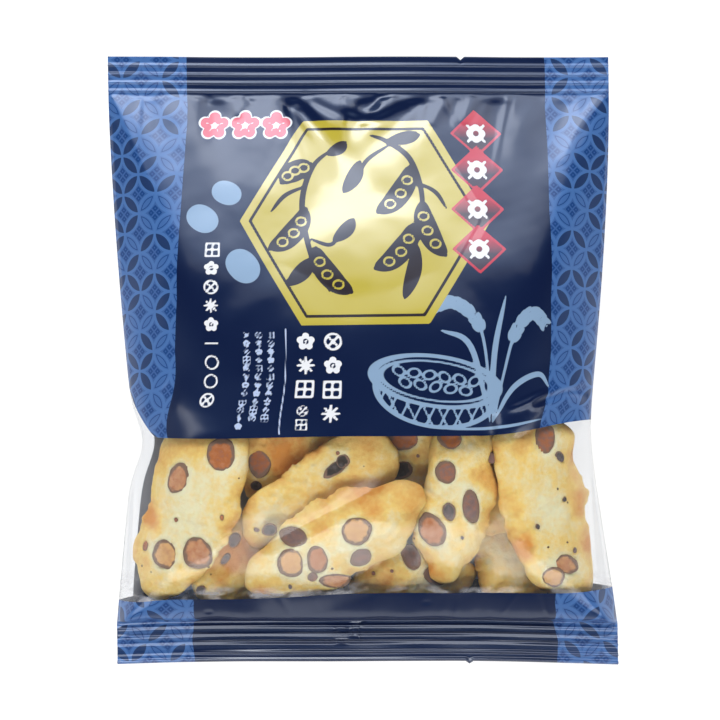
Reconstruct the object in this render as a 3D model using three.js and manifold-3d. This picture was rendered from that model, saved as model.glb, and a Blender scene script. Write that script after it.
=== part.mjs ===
// A sealed pillow pack of rice crackers, lying on its back with the printed front up.
//
// The pack is one tube of film. It is folded flat along its two sides, joined down the middle of its back by
// a fin that lies flat, and crimped shut by a ridged seal across each end. The crackers have slid towards the
// bottom seal, so the pack is fullest below its middle, and its sides pull in there. It rests on the flat
// spot that its contents press into the back. The whole pack is one closed solid, out to the film.
//
// Units are millimetres. X runs across the pack, Y up its face and Z away from the table. The origin is on
// the table, under the middle of the pack.
import * as THREE from "three";
import Module from "manifold-3d";
import { mergeVertices } from "three/addons/utils/BufferGeometryUtils.js";

// Driving dimensions
const PACK_LENGTH = 184.5;
const FLAT_WIDTH = 152; // across the film tube before it was filled
const TOP_SEAL = 11;
const BOTTOM_SEAL = 12.4;
const SEAL_THICKNESS = 0.8;
const SEAL_LEVEL = 16; // height of the seals above the table
const FRONT_SWELL = 22;
const BACK_SWELL = 26; // before the table presses the back flat
const TOP_RUN = 84; // length over which the pack swells evenly, down from the top seal
const BOTTOM_RUN = 48; // length over which it swells up from the bottom seal, steeply at first
const SIDE_PULL = { left: 5.5, right: 7.2 }; // how far each side comes in at the waist
const WAIST_RUN = { top: 97, bottom: 52 }; // length over which the sides come in, from each seal
const LEAN = 1.45; // how far each end is shifted sideways, because the tube was sealed a little askew
const BOTTOM_BOW = 1; // how far the bottom seal's corners reach beyond its middle

// Ridges of the crimped seals
const TOP_RIDGES = { count: 4, pitch: 2.45 };
const BOTTOM_RIDGES = { count: 5, pitch: 2.4 };
const RIDGE_HEIGHT = 0.45;
const SEAL_WAVE = 0.7; // height of the slow waves along each seal
const SEAL_WAVE_LENGTH = 88;

// Tear notch in the top edge, and the matching nib that the cut leaves on the bottom edge
const NOTCH_X = 31;
const NOTCH_WIDTH = 2.4;
const NOTCH_DEPTH = 1;
const NIB_DEPTH = 0.8;

// Fin seal on the back, and the round of the edge where the back meets the table
const FIN_LEFT = -2;
const FIN_WIDTH = 10;
const FIN_THICKNESS = 0.5;
const FLAT_EDGE_ROUND = 2;

// Shape of the cross-section. Where the pack is thin it has a flat middle and a sloping facet at each side,
// which starts as a crease at the corner of the seal. Where the pack is full it is a dome.
const FACET_SHARE = 0.29; // greatest width of a facet, as a share of the half width
const FACET_RUN = { top: 50, bottom: 22 }; // distance from a seal over which the facets widen
const CREASE_POWER = 5; // how sharp the crease between facet and middle is
const DOME = { width: 2.3, height: 0.72 }; // powers of the dome's curve
const DOME_FROM = 0.7; // fullness at which facets start to round into the dome
const DOME_AT = 1.1;

// The left side is dented where the film creases above the window
const DENT = { y: -25, depth: 3.2, length: 9 };

// Folds that run from the seals into the body. x is where a fold meets the seal, slant is its drift across
// for each millimetre along, reach is how far in it is deepest, and depth and width are its size there.
const TOP_FOLDS = [
  { x: -66, slant: 0.5, reach: 16, depth: 1.5, width: 7 },
  { x: -44, slant: 0.12, reach: 9, depth: 0.9, width: 5 },
  { x: -22, slant: 0.75, reach: 9, depth: 1.9, width: 4.5 },
  { x: 4, slant: -0.5, reach: 9, depth: 1.7, width: 4.5 },
  { x: 20, slant: -0.85, reach: 8, depth: 1.5, width: 5 },
  { x: 42, slant: -0.1, reach: 10, depth: 1.1, width: 5 },
  { x: 65, slant: -0.55, reach: 15, depth: 1.5, width: 7 },
];
const BOTTOM_FOLDS = [
  { x: -68, slant: 0.3, reach: 9, depth: 1.3, width: 6 },
  { x: -30, slant: -0.3, reach: 5, depth: 0.9, width: 6 },
  { x: 6, slant: 0.25, reach: 5, depth: 0.9, width: 7 },
  { x: 34, slant: -0.2, reach: 5, depth: 0.8, width: 6 },
  { x: 68, slant: -0.35, reach: 9, depth: 1.3, width: 6 },
];
// Creases that cross the face, where the film buckles at the upper edge of the window
const FACE_CREASES = [
  { x: 62, y: -17, turn: 22, length: 17, width: 3.2, depth: 1.6 },
  { x: 64, y: -24, turn: -12, length: 13, width: 3, depth: -1.1 },
  { x: 39, y: -22, turn: 78, length: 9, width: 2.8, depth: 1 },
  { x: -66, y: -20, turn: 55, length: 12, width: 3, depth: 1.3 },
];

// Crackers that press against the front film: centre, half length, half width and turn from the X axis
const PRESSED_BY = [
  { x: -50.5, y: -48, long: 25, wide: 15, turn: 68, height: 1.7 },
  { x: -17.5, y: -38, long: 24, wide: 12, turn: 28, height: 1.1 },
  { x: -7.5, y: -56, long: 29, wide: 14, turn: 24, height: 1.8 },
  { x: 28.5, y: -46, long: 24, wide: 13, turn: 74, height: 1.5 },
  { x: 57, y: -46, long: 26, wide: 14.5, turn: 98, height: 1.7 },
  { x: -28, y: 8, long: 25, wide: 15, turn: 40, height: 1.2 },
  { x: 26, y: 2, long: 25, wide: 15, turn: 120, height: 1.2 },
  { x: 2, y: 34, long: 24, wide: 14, turn: 10, height: 0.9 },
];

// Fineness of the mesh
const COLUMNS = 34;
const BODY_ROWS = 46;
const FIN_STEP = 0.004; // width of the fin's side, as a share of the half width

const TOP_END = PACK_LENGTH / 2;
const BOTTOM_END = BOTTOM_BOW - PACK_LENGTH / 2;
const BODY_TOP = TOP_END - TOP_SEAL;
const BODY_BOTTOM = BOTTOM_END + BOTTOM_SEAL;
const HALF_WIDTH = FLAT_WIDTH / 2;

const mix = (a, b, share) => a + (b - a) * share;
const smooth = (low, high, value) => THREE.MathUtils.smoothstep(value, low, high);
const bell = (distance, width) => Math.exp(-((distance / width) ** 2));

// Grows as value does while it is small, and levels off at 1. A higher power turns the corner more sharply.
const level = (value, power) => value / (1 + value ** power) ** (1 / power);

// How full the pack is at height y, from 0 at the seals to about 1 where it is fullest: the smaller of a
// straight rise from the top seal and a blunt one from the bottom seal, with the two joined smoothly.
function fullness(y) {
  if (y <= BODY_BOTTOM || y >= BODY_TOP) return 0;
  const fromTop = level((BODY_TOP - y) / TOP_RUN, 5);
  const fromBottom = level(((y - BODY_BOTTOM) / BOTTOM_RUN) ** 0.42, 6);
  return (fromTop ** -8 + fromBottom ** -8) ** (-1 / 8) / 0.868;
}

// How far in the sides have come at height y, from 0 at the seals to about 1 at the waist: the smaller of a
// curve that steepens down from the top seal and a straight line up from the bottom one, joined smoothly.
function waist(y) {
  const fromTop = (Math.max(0, BODY_TOP - y) / WAIST_RUN.top) ** 1.6;
  const fromBottom = Math.max(0, y - BODY_BOTTOM) / WAIST_RUN.bottom;
  return (fromTop ** -6 + fromBottom ** -6) ** (-1 / 6);
}

// Distance from the middle of the pack to its side fold at height y; side is below 0 on the left.
function halfWidth(y, side) {
  if (side >= 0) return HALF_WIDTH - SIDE_PULL.right * waist(y);
  return HALF_WIDTH - SIDE_PULL.left * waist(y) - DENT.depth * bell(y - DENT.y, DENT.length);
}

// Height of the cross-section at s, which runs from -1 at the left fold to 1 at the right one.
function crossSection(s, y, full) {
  const fromFold = Math.max(0, 1 - Math.abs(s));
  const near = Math.min((BODY_TOP - y) / FACET_RUN.top, (y - BODY_BOTTOM) / FACET_RUN.bottom);
  const facet = level(fromFold / (0.02 + FACET_SHARE * level(Math.max(near, 1e-9), 3)), CREASE_POWER);
  const dome = Math.max(0, 1 - Math.abs(s) ** DOME.width) ** DOME.height;
  return mix(facet, dome, smooth(DOME_FROM, DOME_AT, full));
}

// Depth at (x, y) of folds that start at the line y = start and run towards the body; inwards is 1 or -1.
function foldDepth(folds, x, y, start, inwards) {
  const along = (y - start) * inwards;
  if (along <= 0) return 0;
  return folds.reduce((sum, fold) => {
    const across = (x - fold.x - fold.slant * along) / (fold.width * (0.6 + 0.4 * (along / fold.reach)));
    const grow = (along / fold.reach) * Math.exp(1 - along / fold.reach);
    return sum + fold.depth * grow * Math.exp(-across * across);
  }, 0);
}

// Coordinates of (x, y) in the axes of a feature that lies at (at.x, at.y), turned from the X axis.
function inFeature(at, x, y) {
  const angle = THREE.MathUtils.degToRad(at.turn);
  const dx = x - at.x;
  const dy = y - at.y;
  return [dx * Math.cos(angle) + dy * Math.sin(angle), dy * Math.cos(angle) - dx * Math.sin(angle)];
}

function creaseDepth(x, y) {
  return FACE_CREASES.reduce((sum, crease) => {
    const [along, across] = inFeature(crease, x, y);
    return sum + crease.depth * bell(along, crease.length) * bell(across, crease.width);
  }, 0);
}

// How far the crackers lift the front film: the highest of low domes with flat tops.
function crackerRelief(x, y) {
  return PRESSED_BY.reduce((highest, cracker) => {
    const [along, across] = inFeature(cracker, x, y);
    const reach = Math.hypot(along / cracker.long, across / cracker.wide);
    return Math.max(highest, cracker.height * (1 - smooth(0.55, 1.15, reach)));
  }, 0);
}

// The crimped seals rise and fall together on both faces.
function sealRelief(x, y) {
  const wave = SEAL_WAVE * Math.sin((2 * Math.PI * x) / SEAL_WAVE_LENGTH + (y > 0 ? 0.6 : 2.2));
  const inBody = Math.min(y - BODY_BOTTOM, BODY_TOP - y);
  const waveHere = wave * (1 - smooth(0, 30, inBody));
  if (inBody > 0) return waveHere;
  const intoSeal = y > 0 ? y - BODY_TOP : BODY_BOTTOM - y;
  const ridges = y > 0 ? TOP_RIDGES : BOTTOM_RIDGES;
  const phase = intoSeal / ridges.pitch;
  if (phase > ridges.count + 1e-6) return waveHere;
  const triangle = 1 - Math.abs(2 * (phase - Math.floor(phase)) - 1);
  return waveHere + RIDGE_HEIGHT * triangle;
}

// Lets the back sink no lower than the table, with a rounded edge to the flat spot.
function restOnTable(z) {
  if (z > FLAT_EDGE_ROUND) return z;
  if (z < -FLAT_EDGE_ROUND) return 0;
  return (z + FLAT_EDGE_ROUND) ** 2 / (4 * FLAT_EDGE_ROUND);
}

const isInFin = (s) => s * HALF_WIDTH > FIN_LEFT - 1e-3 && s * HALF_WIDTH < FIN_LEFT + FIN_WIDTH + 1e-3;

// How far the film at s and y lies beyond its place in a straight pack, towards the bottom end.
const bow = (s, y) => BOTTOM_BOW * s ** 2 * (1 - smooth(0, 12, y - BODY_BOTTOM));

// Point of the film at s across and y along, on the front or the back.
function filmPoint(s, y, front) {
  const full = fullness(y);
  const x = s * halfWidth(y, Math.sign(s));
  const shift = (-LEAN * y) / TOP_END;
  const middle = SEAL_LEVEL + sealRelief(x, y);
  const swell = crossSection(s, y, full);
  if (!front) {
    const fin = isInFin(s) ? FIN_THICKNESS : 0;
    const z = restOnTable(middle - SEAL_THICKNESS / 2 - BACK_SWELL * full * swell - fin);
    return [x + shift, y - bow(s, y), z];
  }
  const edge = smooth(0, 0.25, 1 - Math.abs(s)); // folds and bumps fade out at the side folds
  const folds =
    foldDepth(TOP_FOLDS, x, y, BODY_TOP, -1) +
    foldDepth(BOTTOM_FOLDS, x, y, BODY_BOTTOM, 1);
  const free = smooth(0, 0.2, full);
  const relief = crackerRelief(x, y) - creaseDepth(x, y);
  const lift = FRONT_SWELL * full * swell + edge * free * relief;
  const rise = Math.max(lift - edge * folds * Math.min(1, lift), 0);
  return [x + shift, y - bow(s, y), middle + SEAL_THICKNESS / 2 + rise];
}

// Values of s for the mesh's columns: closer together towards the folds, with a pair at each side of the fin.
function columnPlaces() {
  const places = [];
  for (let i = 0; i <= COLUMNS; i += 1) {
    const t = -1 + (2 * i) / COLUMNS;
    places.push(1.25 * t - 0.25 * t ** 3);
  }
  const finEdges = [FIN_LEFT / HALF_WIDTH, (FIN_LEFT + FIN_WIDTH) / HALF_WIDTH];
  const clear = places.filter((s) => finEdges.every((edge) => Math.abs(s - edge) > 0.02));
  clear.push(finEdges[0] - FIN_STEP, finEdges[0], finEdges[1], finEdges[1] + FIN_STEP);
  return clear.sort((a, b) => a - b);
}

// Values of y for the mesh's rows: each end, each ridge's foot and crest, and even steps along the body.
function rowPlaces() {
  const places = [BOTTOM_END];
  for (let i = 2 * BOTTOM_RIDGES.count; i > 0; i -= 1) {
    places.push(BODY_BOTTOM - (i * BOTTOM_RIDGES.pitch) / 2);
  }
  for (let i = 0; i <= BODY_ROWS; i += 1) places.push(mix(BODY_BOTTOM, BODY_TOP, i / BODY_ROWS));
  for (let i = 1; i <= 2 * TOP_RIDGES.count; i += 1) places.push(BODY_TOP + (i * TOP_RIDGES.pitch) / 2);
  places.push(TOP_END);
  return places;
}

// The film's two sheets and the narrow wall that joins them all round, as one closed mesh.
function pillowGeometry() {
  const columns = columnPlaces();
  const rows = rowPlaces();
  const points = [];
  for (const front of [true, false]) {
    for (const y of rows) {
      for (const s of columns) points.push(...filmPoint(s, y, front));
    }
  }
  const width = columns.length;
  const height = rows.length;
  const at = (row, column, back) => (back ? width * height : 0) + row * width + column;
  const faces = [];
  const quad = (a, b, c, d) => faces.push(a, b, c, a, c, d);
  for (let r = 0; r < height - 1; r += 1) {
    for (let c = 0; c < width - 1; c += 1) {
      quad(at(r, c), at(r, c + 1), at(r + 1, c + 1), at(r + 1, c));
      quad(at(r, c, true), at(r + 1, c, true), at(r + 1, c + 1, true), at(r, c + 1, true));
    }
    quad(at(r, 0, true), at(r, 0), at(r + 1, 0), at(r + 1, 0, true));
    quad(at(r, width - 1), at(r, width - 1, true), at(r + 1, width - 1, true), at(r + 1, width - 1));
  }
  for (let c = 0; c < width - 1; c += 1) {
    quad(at(0, c, true), at(0, c + 1, true), at(0, c + 1), at(0, c));
    quad(at(height - 1, c), at(height - 1, c + 1), at(height - 1, c + 1, true), at(height - 1, c, true));
  }
  const geometry = new THREE.BufferGeometry();
  geometry.setAttribute("position", new THREE.Float32BufferAttribute(points, 3));
  geometry.setIndex(faces);
  return geometry;
}

// An upright three-sided prism that points down the pack, with its base line across at height y.
function wedgeGeometry(y) {
  const outline = new THREE.Shape();
  outline.moveTo(-NOTCH_WIDTH / 2, 0);
  outline.lineTo(0, y > 0 ? -NOTCH_DEPTH : -NIB_DEPTH);
  outline.lineTo(NOTCH_WIDTH / 2, 0);
  outline.lineTo(NOTCH_WIDTH / 2, 0.2);
  outline.lineTo(-NOTCH_WIDTH / 2, 0.2);
  const depth = y > 0 ? SEAL_LEVEL : SEAL_THICKNESS * 0.8;
  const lean = (-LEAN * y) / TOP_END;
  const height = y > 0 ? SEAL_LEVEL : SEAL_LEVEL + sealRelief(NOTCH_X, y);
  const geometry = new THREE.ExtrudeGeometry(outline, { depth, bevelEnabled: false });
  geometry.translate(NOTCH_X + lean, y - bow(NOTCH_X / HALF_WIDTH, y), height - depth / 2);
  return geometry;
}

const wasm = await Module();
wasm.setup();

function toSolid(geometry) {
  const bare = geometry.clone();
  bare.deleteAttribute("normal");
  bare.deleteAttribute("uv");
  const merged = mergeVertices(bare, 1e-4);
  return new wasm.Manifold(
    new wasm.Mesh({
      numProp: 3,
      vertProperties: merged.getAttribute("position").array,
      triVerts: new Uint32Array(merged.index.array),
    }),
  );
}

function toGeometry(solid) {
  const mesh = solid.getMesh();
  const geometry = new THREE.BufferGeometry();
  geometry.setAttribute("position", new THREE.BufferAttribute(mesh.vertProperties, 3));
  geometry.setIndex(new THREE.BufferAttribute(mesh.triVerts, 1));
  geometry.computeVertexNormals();
  return geometry;
}

function crackerPack() {
  const cut = toSolid(wedgeGeometry(TOP_END));
  const nib = toSolid(wedgeGeometry(BOTTOM_END));
  const solid = toSolid(pillowGeometry()).subtract(cut).add(nib);
  const film = new THREE.MeshStandardMaterial({ color: 0x1f2f66, roughness: 0.25, metalness: 0 });
  const mesh = new THREE.Mesh(toGeometry(solid), film);
  mesh.name = "cracker_pack";
  return mesh;
}

const part = new THREE.Group();
part.add(crackerPack());

export default part;
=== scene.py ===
"""Pillow pack of rice crackers with whole black soybeans: its film, print and contents, over the CAD solid.

Everything is worked out in millimetres, with X across the pack, Y up its face and Z away from the table,
and becomes metres where a mesh is made. The film repeats the form of the solid, with finer wrinkles and
crimping. Places on the film are given as they are on the flat tube: u across from the middle, to 76 at a
side fold, and v along the pack, which is the frame's Y.
"""
import math

import bpy
import numpy as np
from bpy.props import FloatProperty, FloatVectorProperty, IntProperty, PointerProperty
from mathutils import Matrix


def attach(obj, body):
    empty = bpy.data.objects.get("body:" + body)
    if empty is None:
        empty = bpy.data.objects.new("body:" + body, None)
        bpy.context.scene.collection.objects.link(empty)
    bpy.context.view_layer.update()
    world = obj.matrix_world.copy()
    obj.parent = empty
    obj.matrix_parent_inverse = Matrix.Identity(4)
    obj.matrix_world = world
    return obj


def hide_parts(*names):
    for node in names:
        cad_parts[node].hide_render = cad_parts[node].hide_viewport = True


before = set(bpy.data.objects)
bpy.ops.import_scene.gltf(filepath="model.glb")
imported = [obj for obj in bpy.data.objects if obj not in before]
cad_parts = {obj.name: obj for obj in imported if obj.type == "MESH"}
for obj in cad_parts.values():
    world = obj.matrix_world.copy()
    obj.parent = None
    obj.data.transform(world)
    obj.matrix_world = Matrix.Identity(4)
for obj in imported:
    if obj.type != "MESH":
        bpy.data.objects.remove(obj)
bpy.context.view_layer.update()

bl_info = {
    "name": "Rice cracker pack",
    "version": (1, 0, 0),
    "blender": (4, 5, 0),
    "location": "3D View > Sidebar > Cracker pack",
    "description": "Builds a sealed pillow pack of rice crackers from its film, print, crackers and beans",
    "category": "Add Mesh",
}

MM = 0.001

# ------------------------------------------------------------------ the pack's form, as in the solid

PACK_LENGTH = 184.5
FLAT_WIDTH = 152  # across the film tube before it was filled
TOP_SEAL = 11
BOTTOM_SEAL = 12.4
SEAL_LEVEL = 16  # height of the seals above the table
FRONT_SWELL = 22
BACK_SWELL = 26
TOP_RUN = 84  # length over which the pack swells evenly, down from the top seal
BOTTOM_RUN = 48  # length over which it swells up from the bottom seal, steeply at first
SIDE_PULL = (5.5, 7.2)  # how far the left and the right side come in at the waist
WAIST_RUN = (97, 52)  # length over which the sides come in, from the top and the bottom seal
LEAN = 1.45  # how far each end is shifted sideways
BOTTOM_BOW = 1  # how far the bottom seal's corners reach beyond its middle
BLUNTNESS = 0.42  # power of the swelling from the bottom seal: the lower, the steeper its start
FULLEST = 0.868  # what counts as full, where the swellings from both seals meet
SEAL_WAVE = 0.7  # height of the slow waves along the seals
SEAL_WAVE_LENGTH = 88
SEAL_WAVE_START = (0.6, 2.2)  # where along such a wave the top and the bottom seal start
SEAL_WAVE_REACH = 30  # how far into the body the waves fade out

# The cross-section: where the pack is thin a flat middle between two facets, and where it is full a dome
FACET_SHARE = 0.29  # greatest width of a facet, as a share of the half width
FACET_RUN = (50, 22)  # length over which the facets widen, from the top and the bottom seal
CREASE_POWER = 5  # how sharp the crease between facet and middle is
DOME_WIDTH = 2.3  # powers of the dome's curve
DOME_HEIGHT = 0.72
DOME_FROM = 0.7  # fullness at which facets start to round into the dome
DOME_AT = 1.1

# The left side is dented where the film creases above the window
DENT_AT = -25
DENT_DEPTH = 3.2
DENT_LENGTH = 9

HALF_WIDTH = FLAT_WIDTH / 2
TOP_END = PACK_LENGTH / 2
BOTTOM_END = BOTTOM_BOW - PACK_LENGTH / 2
BODY_TOP = TOP_END - TOP_SEAL
BODY_BOTTOM = BOTTOM_END + BOTTOM_SEAL

NOTCH_X = 31
NOTCH_WIDTH = 2.4
NOTCH_DEPTH = 1
NIB_DEPTH = 0.8
NOTCH_REACH = 3  # how far in the film's rows bend round the notch and the nib

# Fin seal down the back, where the tube's two edges are joined
FIN_LEFT = -2
FIN_WIDTH = 10
FIN_SIDE = 0.3  # width of the step at each of its edges
FIN_THICKNESS = 0.5
FIN_EDGES = FIN_LEFT + np.array([-FIN_SIDE, 0, FIN_WIDTH, FIN_WIDTH + FIN_SIDE])

# Folds from the seals: place across, drift, reach, depth and width
TOP_FOLDS = [
    (-66, 0.5, 16, 0.4, 7),
    (-44, 0.12, 9, 0.9, 5),
    (-22, 0.75, 9, 1.9, 4.5),
    (4, -0.5, 9, 1.7, 4.5),
    (20, -0.85, 8, 1.5, 5),
    (42, -0.1, 10, 1.1, 5),
    (65, -0.55, 15, 0.6, 7),
]
BOTTOM_FOLDS = [
    (-68, 0.3, 9, 1.3, 6),
    (-30, -0.3, 5, 0.9, 6),
    (6, 0.25, 5, 0.9, 7),
    (34, -0.2, 5, 0.8, 6),
    (68, -0.35, 9, 1.3, 6),
]
# Creases across the face: centre, turn in degrees, length, width and depth
FACE_CREASES = [
    (62, -17, 22, 17, 3.2, 1.6),
    (64, -24, -12, 13, 3, -1.1),
    (39, -22, 78, 9, 2.8, 1),
    (-66, -20, 55, 12, 3, 1.3),
]
# Crackers that lift the film: centre, half length, half width, turn in degrees and height
PRESSED_BY = [
    (-50.5, -48, 25, 15, 68, 1.7),
    (-17.5, -38, 24, 12, 28, 1.1),
    (-7.5, -56, 29, 14, 24, 1.8),
    (28.5, -46, 24, 13, 74, 1.5),
    (57, -46, 26, 14.5, 98, 1.7),
    (-28, 8, 25, 15, 40, 0.4),
    (26, 2, 25, 15, 120, 0.4),
    (2, 34, 24, 14, 10, 0.5),
]

# ------------------------------------------------------------------ what only the film shows

WINDOW_TOP = -21.9
WINDOW_BOTTOM = -68.6
# How the window's edges slant: from u, to u, and how far up
UPPER_EDGE_RISES = ((38, 76, 4), (0, -66, -1.2))
LOWER_EDGE_RISES = ((-4, -40, -2), (-56, -76, -1.6))
CORNER_RISE = 15  # how far up the upper edge runs at its left corner, and over what share of the half width
CORNER_SHARE = 0.1
RISE_REACH = (14, 8)  # how far along the pack the film follows the upper and the lower edge
WRAP_LEFT = -0.955  # the clear window reaches round both side folds, to these places on the back
WRAP_RIGHT = 0.9
# Ridges of the seals: places of their gentle flanks along the pack, the way these face, height, and how much
# that varies
SEAL_RIDGES = [
    ([82.2, 84.7, 87.2, 90], 1, 0.34, 0.35),
    ([-80.7, -83.2, -85.6], -1, 0.27, 1.1),
    ([-87.9, -90.2], 1, 0.5, 0.8),
]
GENTLE_FLANK = 1.0  # widths of a ridge's two flanks
STEEP_FLANK = 0.45
FILM_GAP = 0.1  # between the two sheets in the seals
FOLD_GAP = 0.35  # how much more between them in the body, near the side folds
LINER_GAP = 0.08  # between the back film's print and the pale liner inside it, whose colour is a painted reflection
PUCKER_STEP = 4.1  # from one short fold at a seal to the next
# Small unevenness of the film: height, length and seed of its ripples
FRONT_SWAY = [(0.12, 22, 1)]
FRONT_GRAIN = [(0.02, 9, 2), (0.006, 4, 7)]
BACK_SWAY = [(0.25, 24, 4), (0.06, 8, 5)]
# Small folds in the front film: route, half width, and height, below 0 for a groove
WRINKLES = [
    ([(-18, 80.7), (-14.3, 78.7), (-8.7, 75.7), (-2.5, 73.2)], 1.4, -0.4),
    ([(-18, 79.2), (-20.4, 77.7), (-22.8, 75.2)], 1.2, -0.25),
    ([(-5.6, 79.7), (-3.7, 77.2), (0, 75.2), (5, 75.2), (8.7, 77.2), (11.8, 79.7)], 1.8, 0.5),
    ([(-4.4, 73.7), (0, 72.7), (5.6, 72.7), (10, 74.7), (13.7, 77.7)], 1.8, -0.5),
    ([(9.4, 79.7), (6.2, 79.7), (3.7, 78.2)], 0.8, -0.35),
    ([(26.4, 79.7), (24.6, 76.2), (21.6, 70.7)], 1.5, 0.35),
    ([(35.2, 80.2), (32.9, 75.7), (31.1, 71.2)], 1.6, 0.35),
    ([(30, 79.7), (28.2, 75.2), (26.4, 70.2)], 1.4, -0.3),
    ([(-39.1, 79.7), (-38, 76.7), (-36.8, 73.2)], 1.6, 0.3),
    ([(-35.2, 80.2), (-31.7, 77.7)], 1.2, -0.3),
    ([(-44.6, 80.2), (-47.2, 77.7)], 1.2, -0.25),
    ([(-75.7, 80.2), (-72.9, 75.2), (-67.6, 63.2), (-62.1, 50.7)], 1.6, 0.35),
    ([(75.2, 80.2), (70, 75.2), (65, 68.2), (61, 58.7)], 1.6, 0.35),
    ([(68.5, -6), (62.4, -7.4), (56.8, -9), (51.8, -10.7), (46.3, -13.1), (41.6, -14.6)], 1.1, 0.6),
    ([(67.8, -10.6), (61.6, -9.4), (55.9, -10.7), (49.9, -13.2)], 1.2, -0.7),
    ([(66.1, -11.9), (61.7, -11.4), (56.6, -11.9), (52, -13.3), (48.1, -13.8)], 0.9, 0.4),
    ([(38.1, -15.8), (39, -18.7), (39.5, -21.7)], 1, -0.5),
    ([(69, -24), (71, -42.6), (72.7, -60.6), (73.2, -69.8)], 1.2, 0.5),
    ([(68.1, -33.3), (68.6, -47.9), (69.4, -66.1)], 1, -0.4),
    ([(-67.5, -25.5), (-71.6, -39.3), (-72.7, -54.7), (-73.4, -69.4)], 1.2, 0.5),
    ([(-70, -33.6), (-70.4, -48.3), (-71.1, -63.2)], 1, -0.4),
    ([(-48.5, -74.9), (-45.9, -74.5)], 0.6, -0.3),
    ([(16.5, -71.7), (19, -71.7)], 0.6, -0.3),
    ([(-4.4, -79.3), (-1.9, -84.8)], 0.5, -0.3),
    ([(-0.6, -77.8), (-5, -83.8)], 0.5, -0.3),
    ([(-10, -81.4), (-5, -81.8)], 0.6, -0.3),
    ([(-10, -85.3), (-5.6, -85.3)], 0.6, -0.3),
]


def smooth(low, high, value):
    """Rises from 0 at low to 1 at high, level at both ends."""
    share = np.clip((value - low) / (high - low), 0, 1)
    return share * share * (3 - 2 * share)


def bell(distance, width):
    """Falls from 1 at no distance towards 0, as a normal curve does."""
    return np.exp(-((distance / width) ** 2))


def level(value, power):
    """Grows as value does while it is small, and levels off at 1; a higher power turns more sharply."""
    return value / (1 + value**power) ** (1 / power)


def ripples(x, y, length, seed, waves=20):
    """Random relief, about -1 to 1: cosine waves of one length that run in random directions, added up."""
    draw = np.random.default_rng(seed)
    total = np.zeros(np.shape(x))
    for turn, phase in draw.uniform(0, 2 * math.pi, (waves, 2)):
        total += np.cos((x * math.cos(turn) + y * math.sin(turn)) * 2 * math.pi / length + phase)
    return total / math.sqrt(2 * waves)


def rippled(x, y, layers):
    """Ripples of several sizes, added up; each layer is a height, a length and a seed."""
    return sum(height * ripples(x, y, length, seed) for height, length, seed in layers)


def fullness(y):
    """How full the pack is, from 0 at the seals to about 1: the smaller of a straight rise from the top seal
    and a blunt one from the bottom seal, joined smoothly."""
    body = np.clip(y, BODY_BOTTOM + 1e-6, BODY_TOP - 1e-6)
    from_top = level((BODY_TOP - body) / TOP_RUN, 5)
    from_bottom = level(((body - BODY_BOTTOM) / BOTTOM_RUN) ** BLUNTNESS, 6)
    full = (from_top**-8 + from_bottom**-8) ** (-1 / 8) / FULLEST
    return np.where((y > BODY_BOTTOM) & (y < BODY_TOP), full, 0)


def waist(y):
    """How far in the sides have come, from 0 at the seals to about 1: the smaller of a curve that steepens
    down from the top seal and a straight line up from the bottom one, joined smoothly."""
    from_top = (np.maximum(BODY_TOP - y, 1e-3) / WAIST_RUN[0]) ** 1.6
    from_bottom = np.maximum(y - BODY_BOTTOM, 1e-3) / WAIST_RUN[1]
    return (from_top**-6 + from_bottom**-6) ** (-1 / 6)


def half_width(y, side):
    """Distance from the pack's middle to its side fold, less at the waist and at the left side's dent."""
    left = SIDE_PULL[0] * waist(y) + DENT_DEPTH * bell(y - DENT_AT, DENT_LENGTH)
    return HALF_WIDTH - np.where(side < 0, left, SIDE_PULL[1] * waist(y))


def cross_section(s, y, full):
    """Height of the cross-section at s, from -1 to 1: a flat middle between two facets where the pack is
    thin, and a dome where it is full."""
    from_fold = np.maximum(0, 1 - np.abs(s))
    near = np.minimum((BODY_TOP - y) / FACET_RUN[0], (y - BODY_BOTTOM) / FACET_RUN[1])
    facet = level(from_fold / (0.02 + FACET_SHARE * level(np.maximum(near, 1e-9), 3)), CREASE_POWER)
    dome = np.maximum(0, 1 - np.abs(s) ** DOME_WIDTH) ** DOME_HEIGHT
    return facet + (dome - facet) * smooth(DOME_FROM, DOME_AT, full)


def fold_depth(folds, x, y, start, inwards):
    """Depth of folds that start at the line y = start: each grows, then fades, along its length."""
    along = np.maximum((y - start) * inwards, 0)
    depth = np.zeros(np.shape(x))
    for place, drift, reach, deep, width in folds:
        across = (x - place - drift * along) / (width * (0.6 + 0.4 * along / reach))
        depth += deep * along / reach * np.exp(1 - along / reach) * np.exp(-across * across)
    return depth


def in_feature(x, y, centre_x, centre_y, turn):
    """Coordinates of (x, y) along and across a feature that lies at its centre, turned from the X axis."""
    angle = math.radians(turn)
    dx = x - centre_x
    dy = y - centre_y
    return dx * math.cos(angle) + dy * math.sin(angle), dy * math.cos(angle) - dx * math.sin(angle)


def from_feature(along, across, centre_x, centre_y, turn):
    """Coordinates (x, y) of what lies along and across such a feature: the reverse of in_feature."""
    angle = math.radians(turn)
    x = centre_x + along * math.cos(angle) - across * math.sin(angle)
    y = centre_y + along * math.sin(angle) + across * math.cos(angle)
    return x, y


def crease_depth(x, y):
    """Depth of the creases across the face: long narrow bells."""
    depth = 0
    for centre_x, centre_y, turn, length, width, deep in FACE_CREASES:
        along, across = in_feature(x, y, centre_x, centre_y, turn)
        depth = depth + deep * bell(along, length) * bell(across, width)
    return depth


def cracker_relief(x, y):
    """How far the crackers lift the film: the highest of low domes with flat tops."""
    highest = np.zeros(np.shape(x))
    for centre_x, centre_y, long, wide, turn, height in PRESSED_BY:
        along, across = in_feature(x, y, centre_x, centre_y, turn)
        reach = np.hypot(along / long, across / wide)
        highest = np.maximum(highest, height * (1 - smooth(0.55, 1.15, reach)))
    return highest


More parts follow.
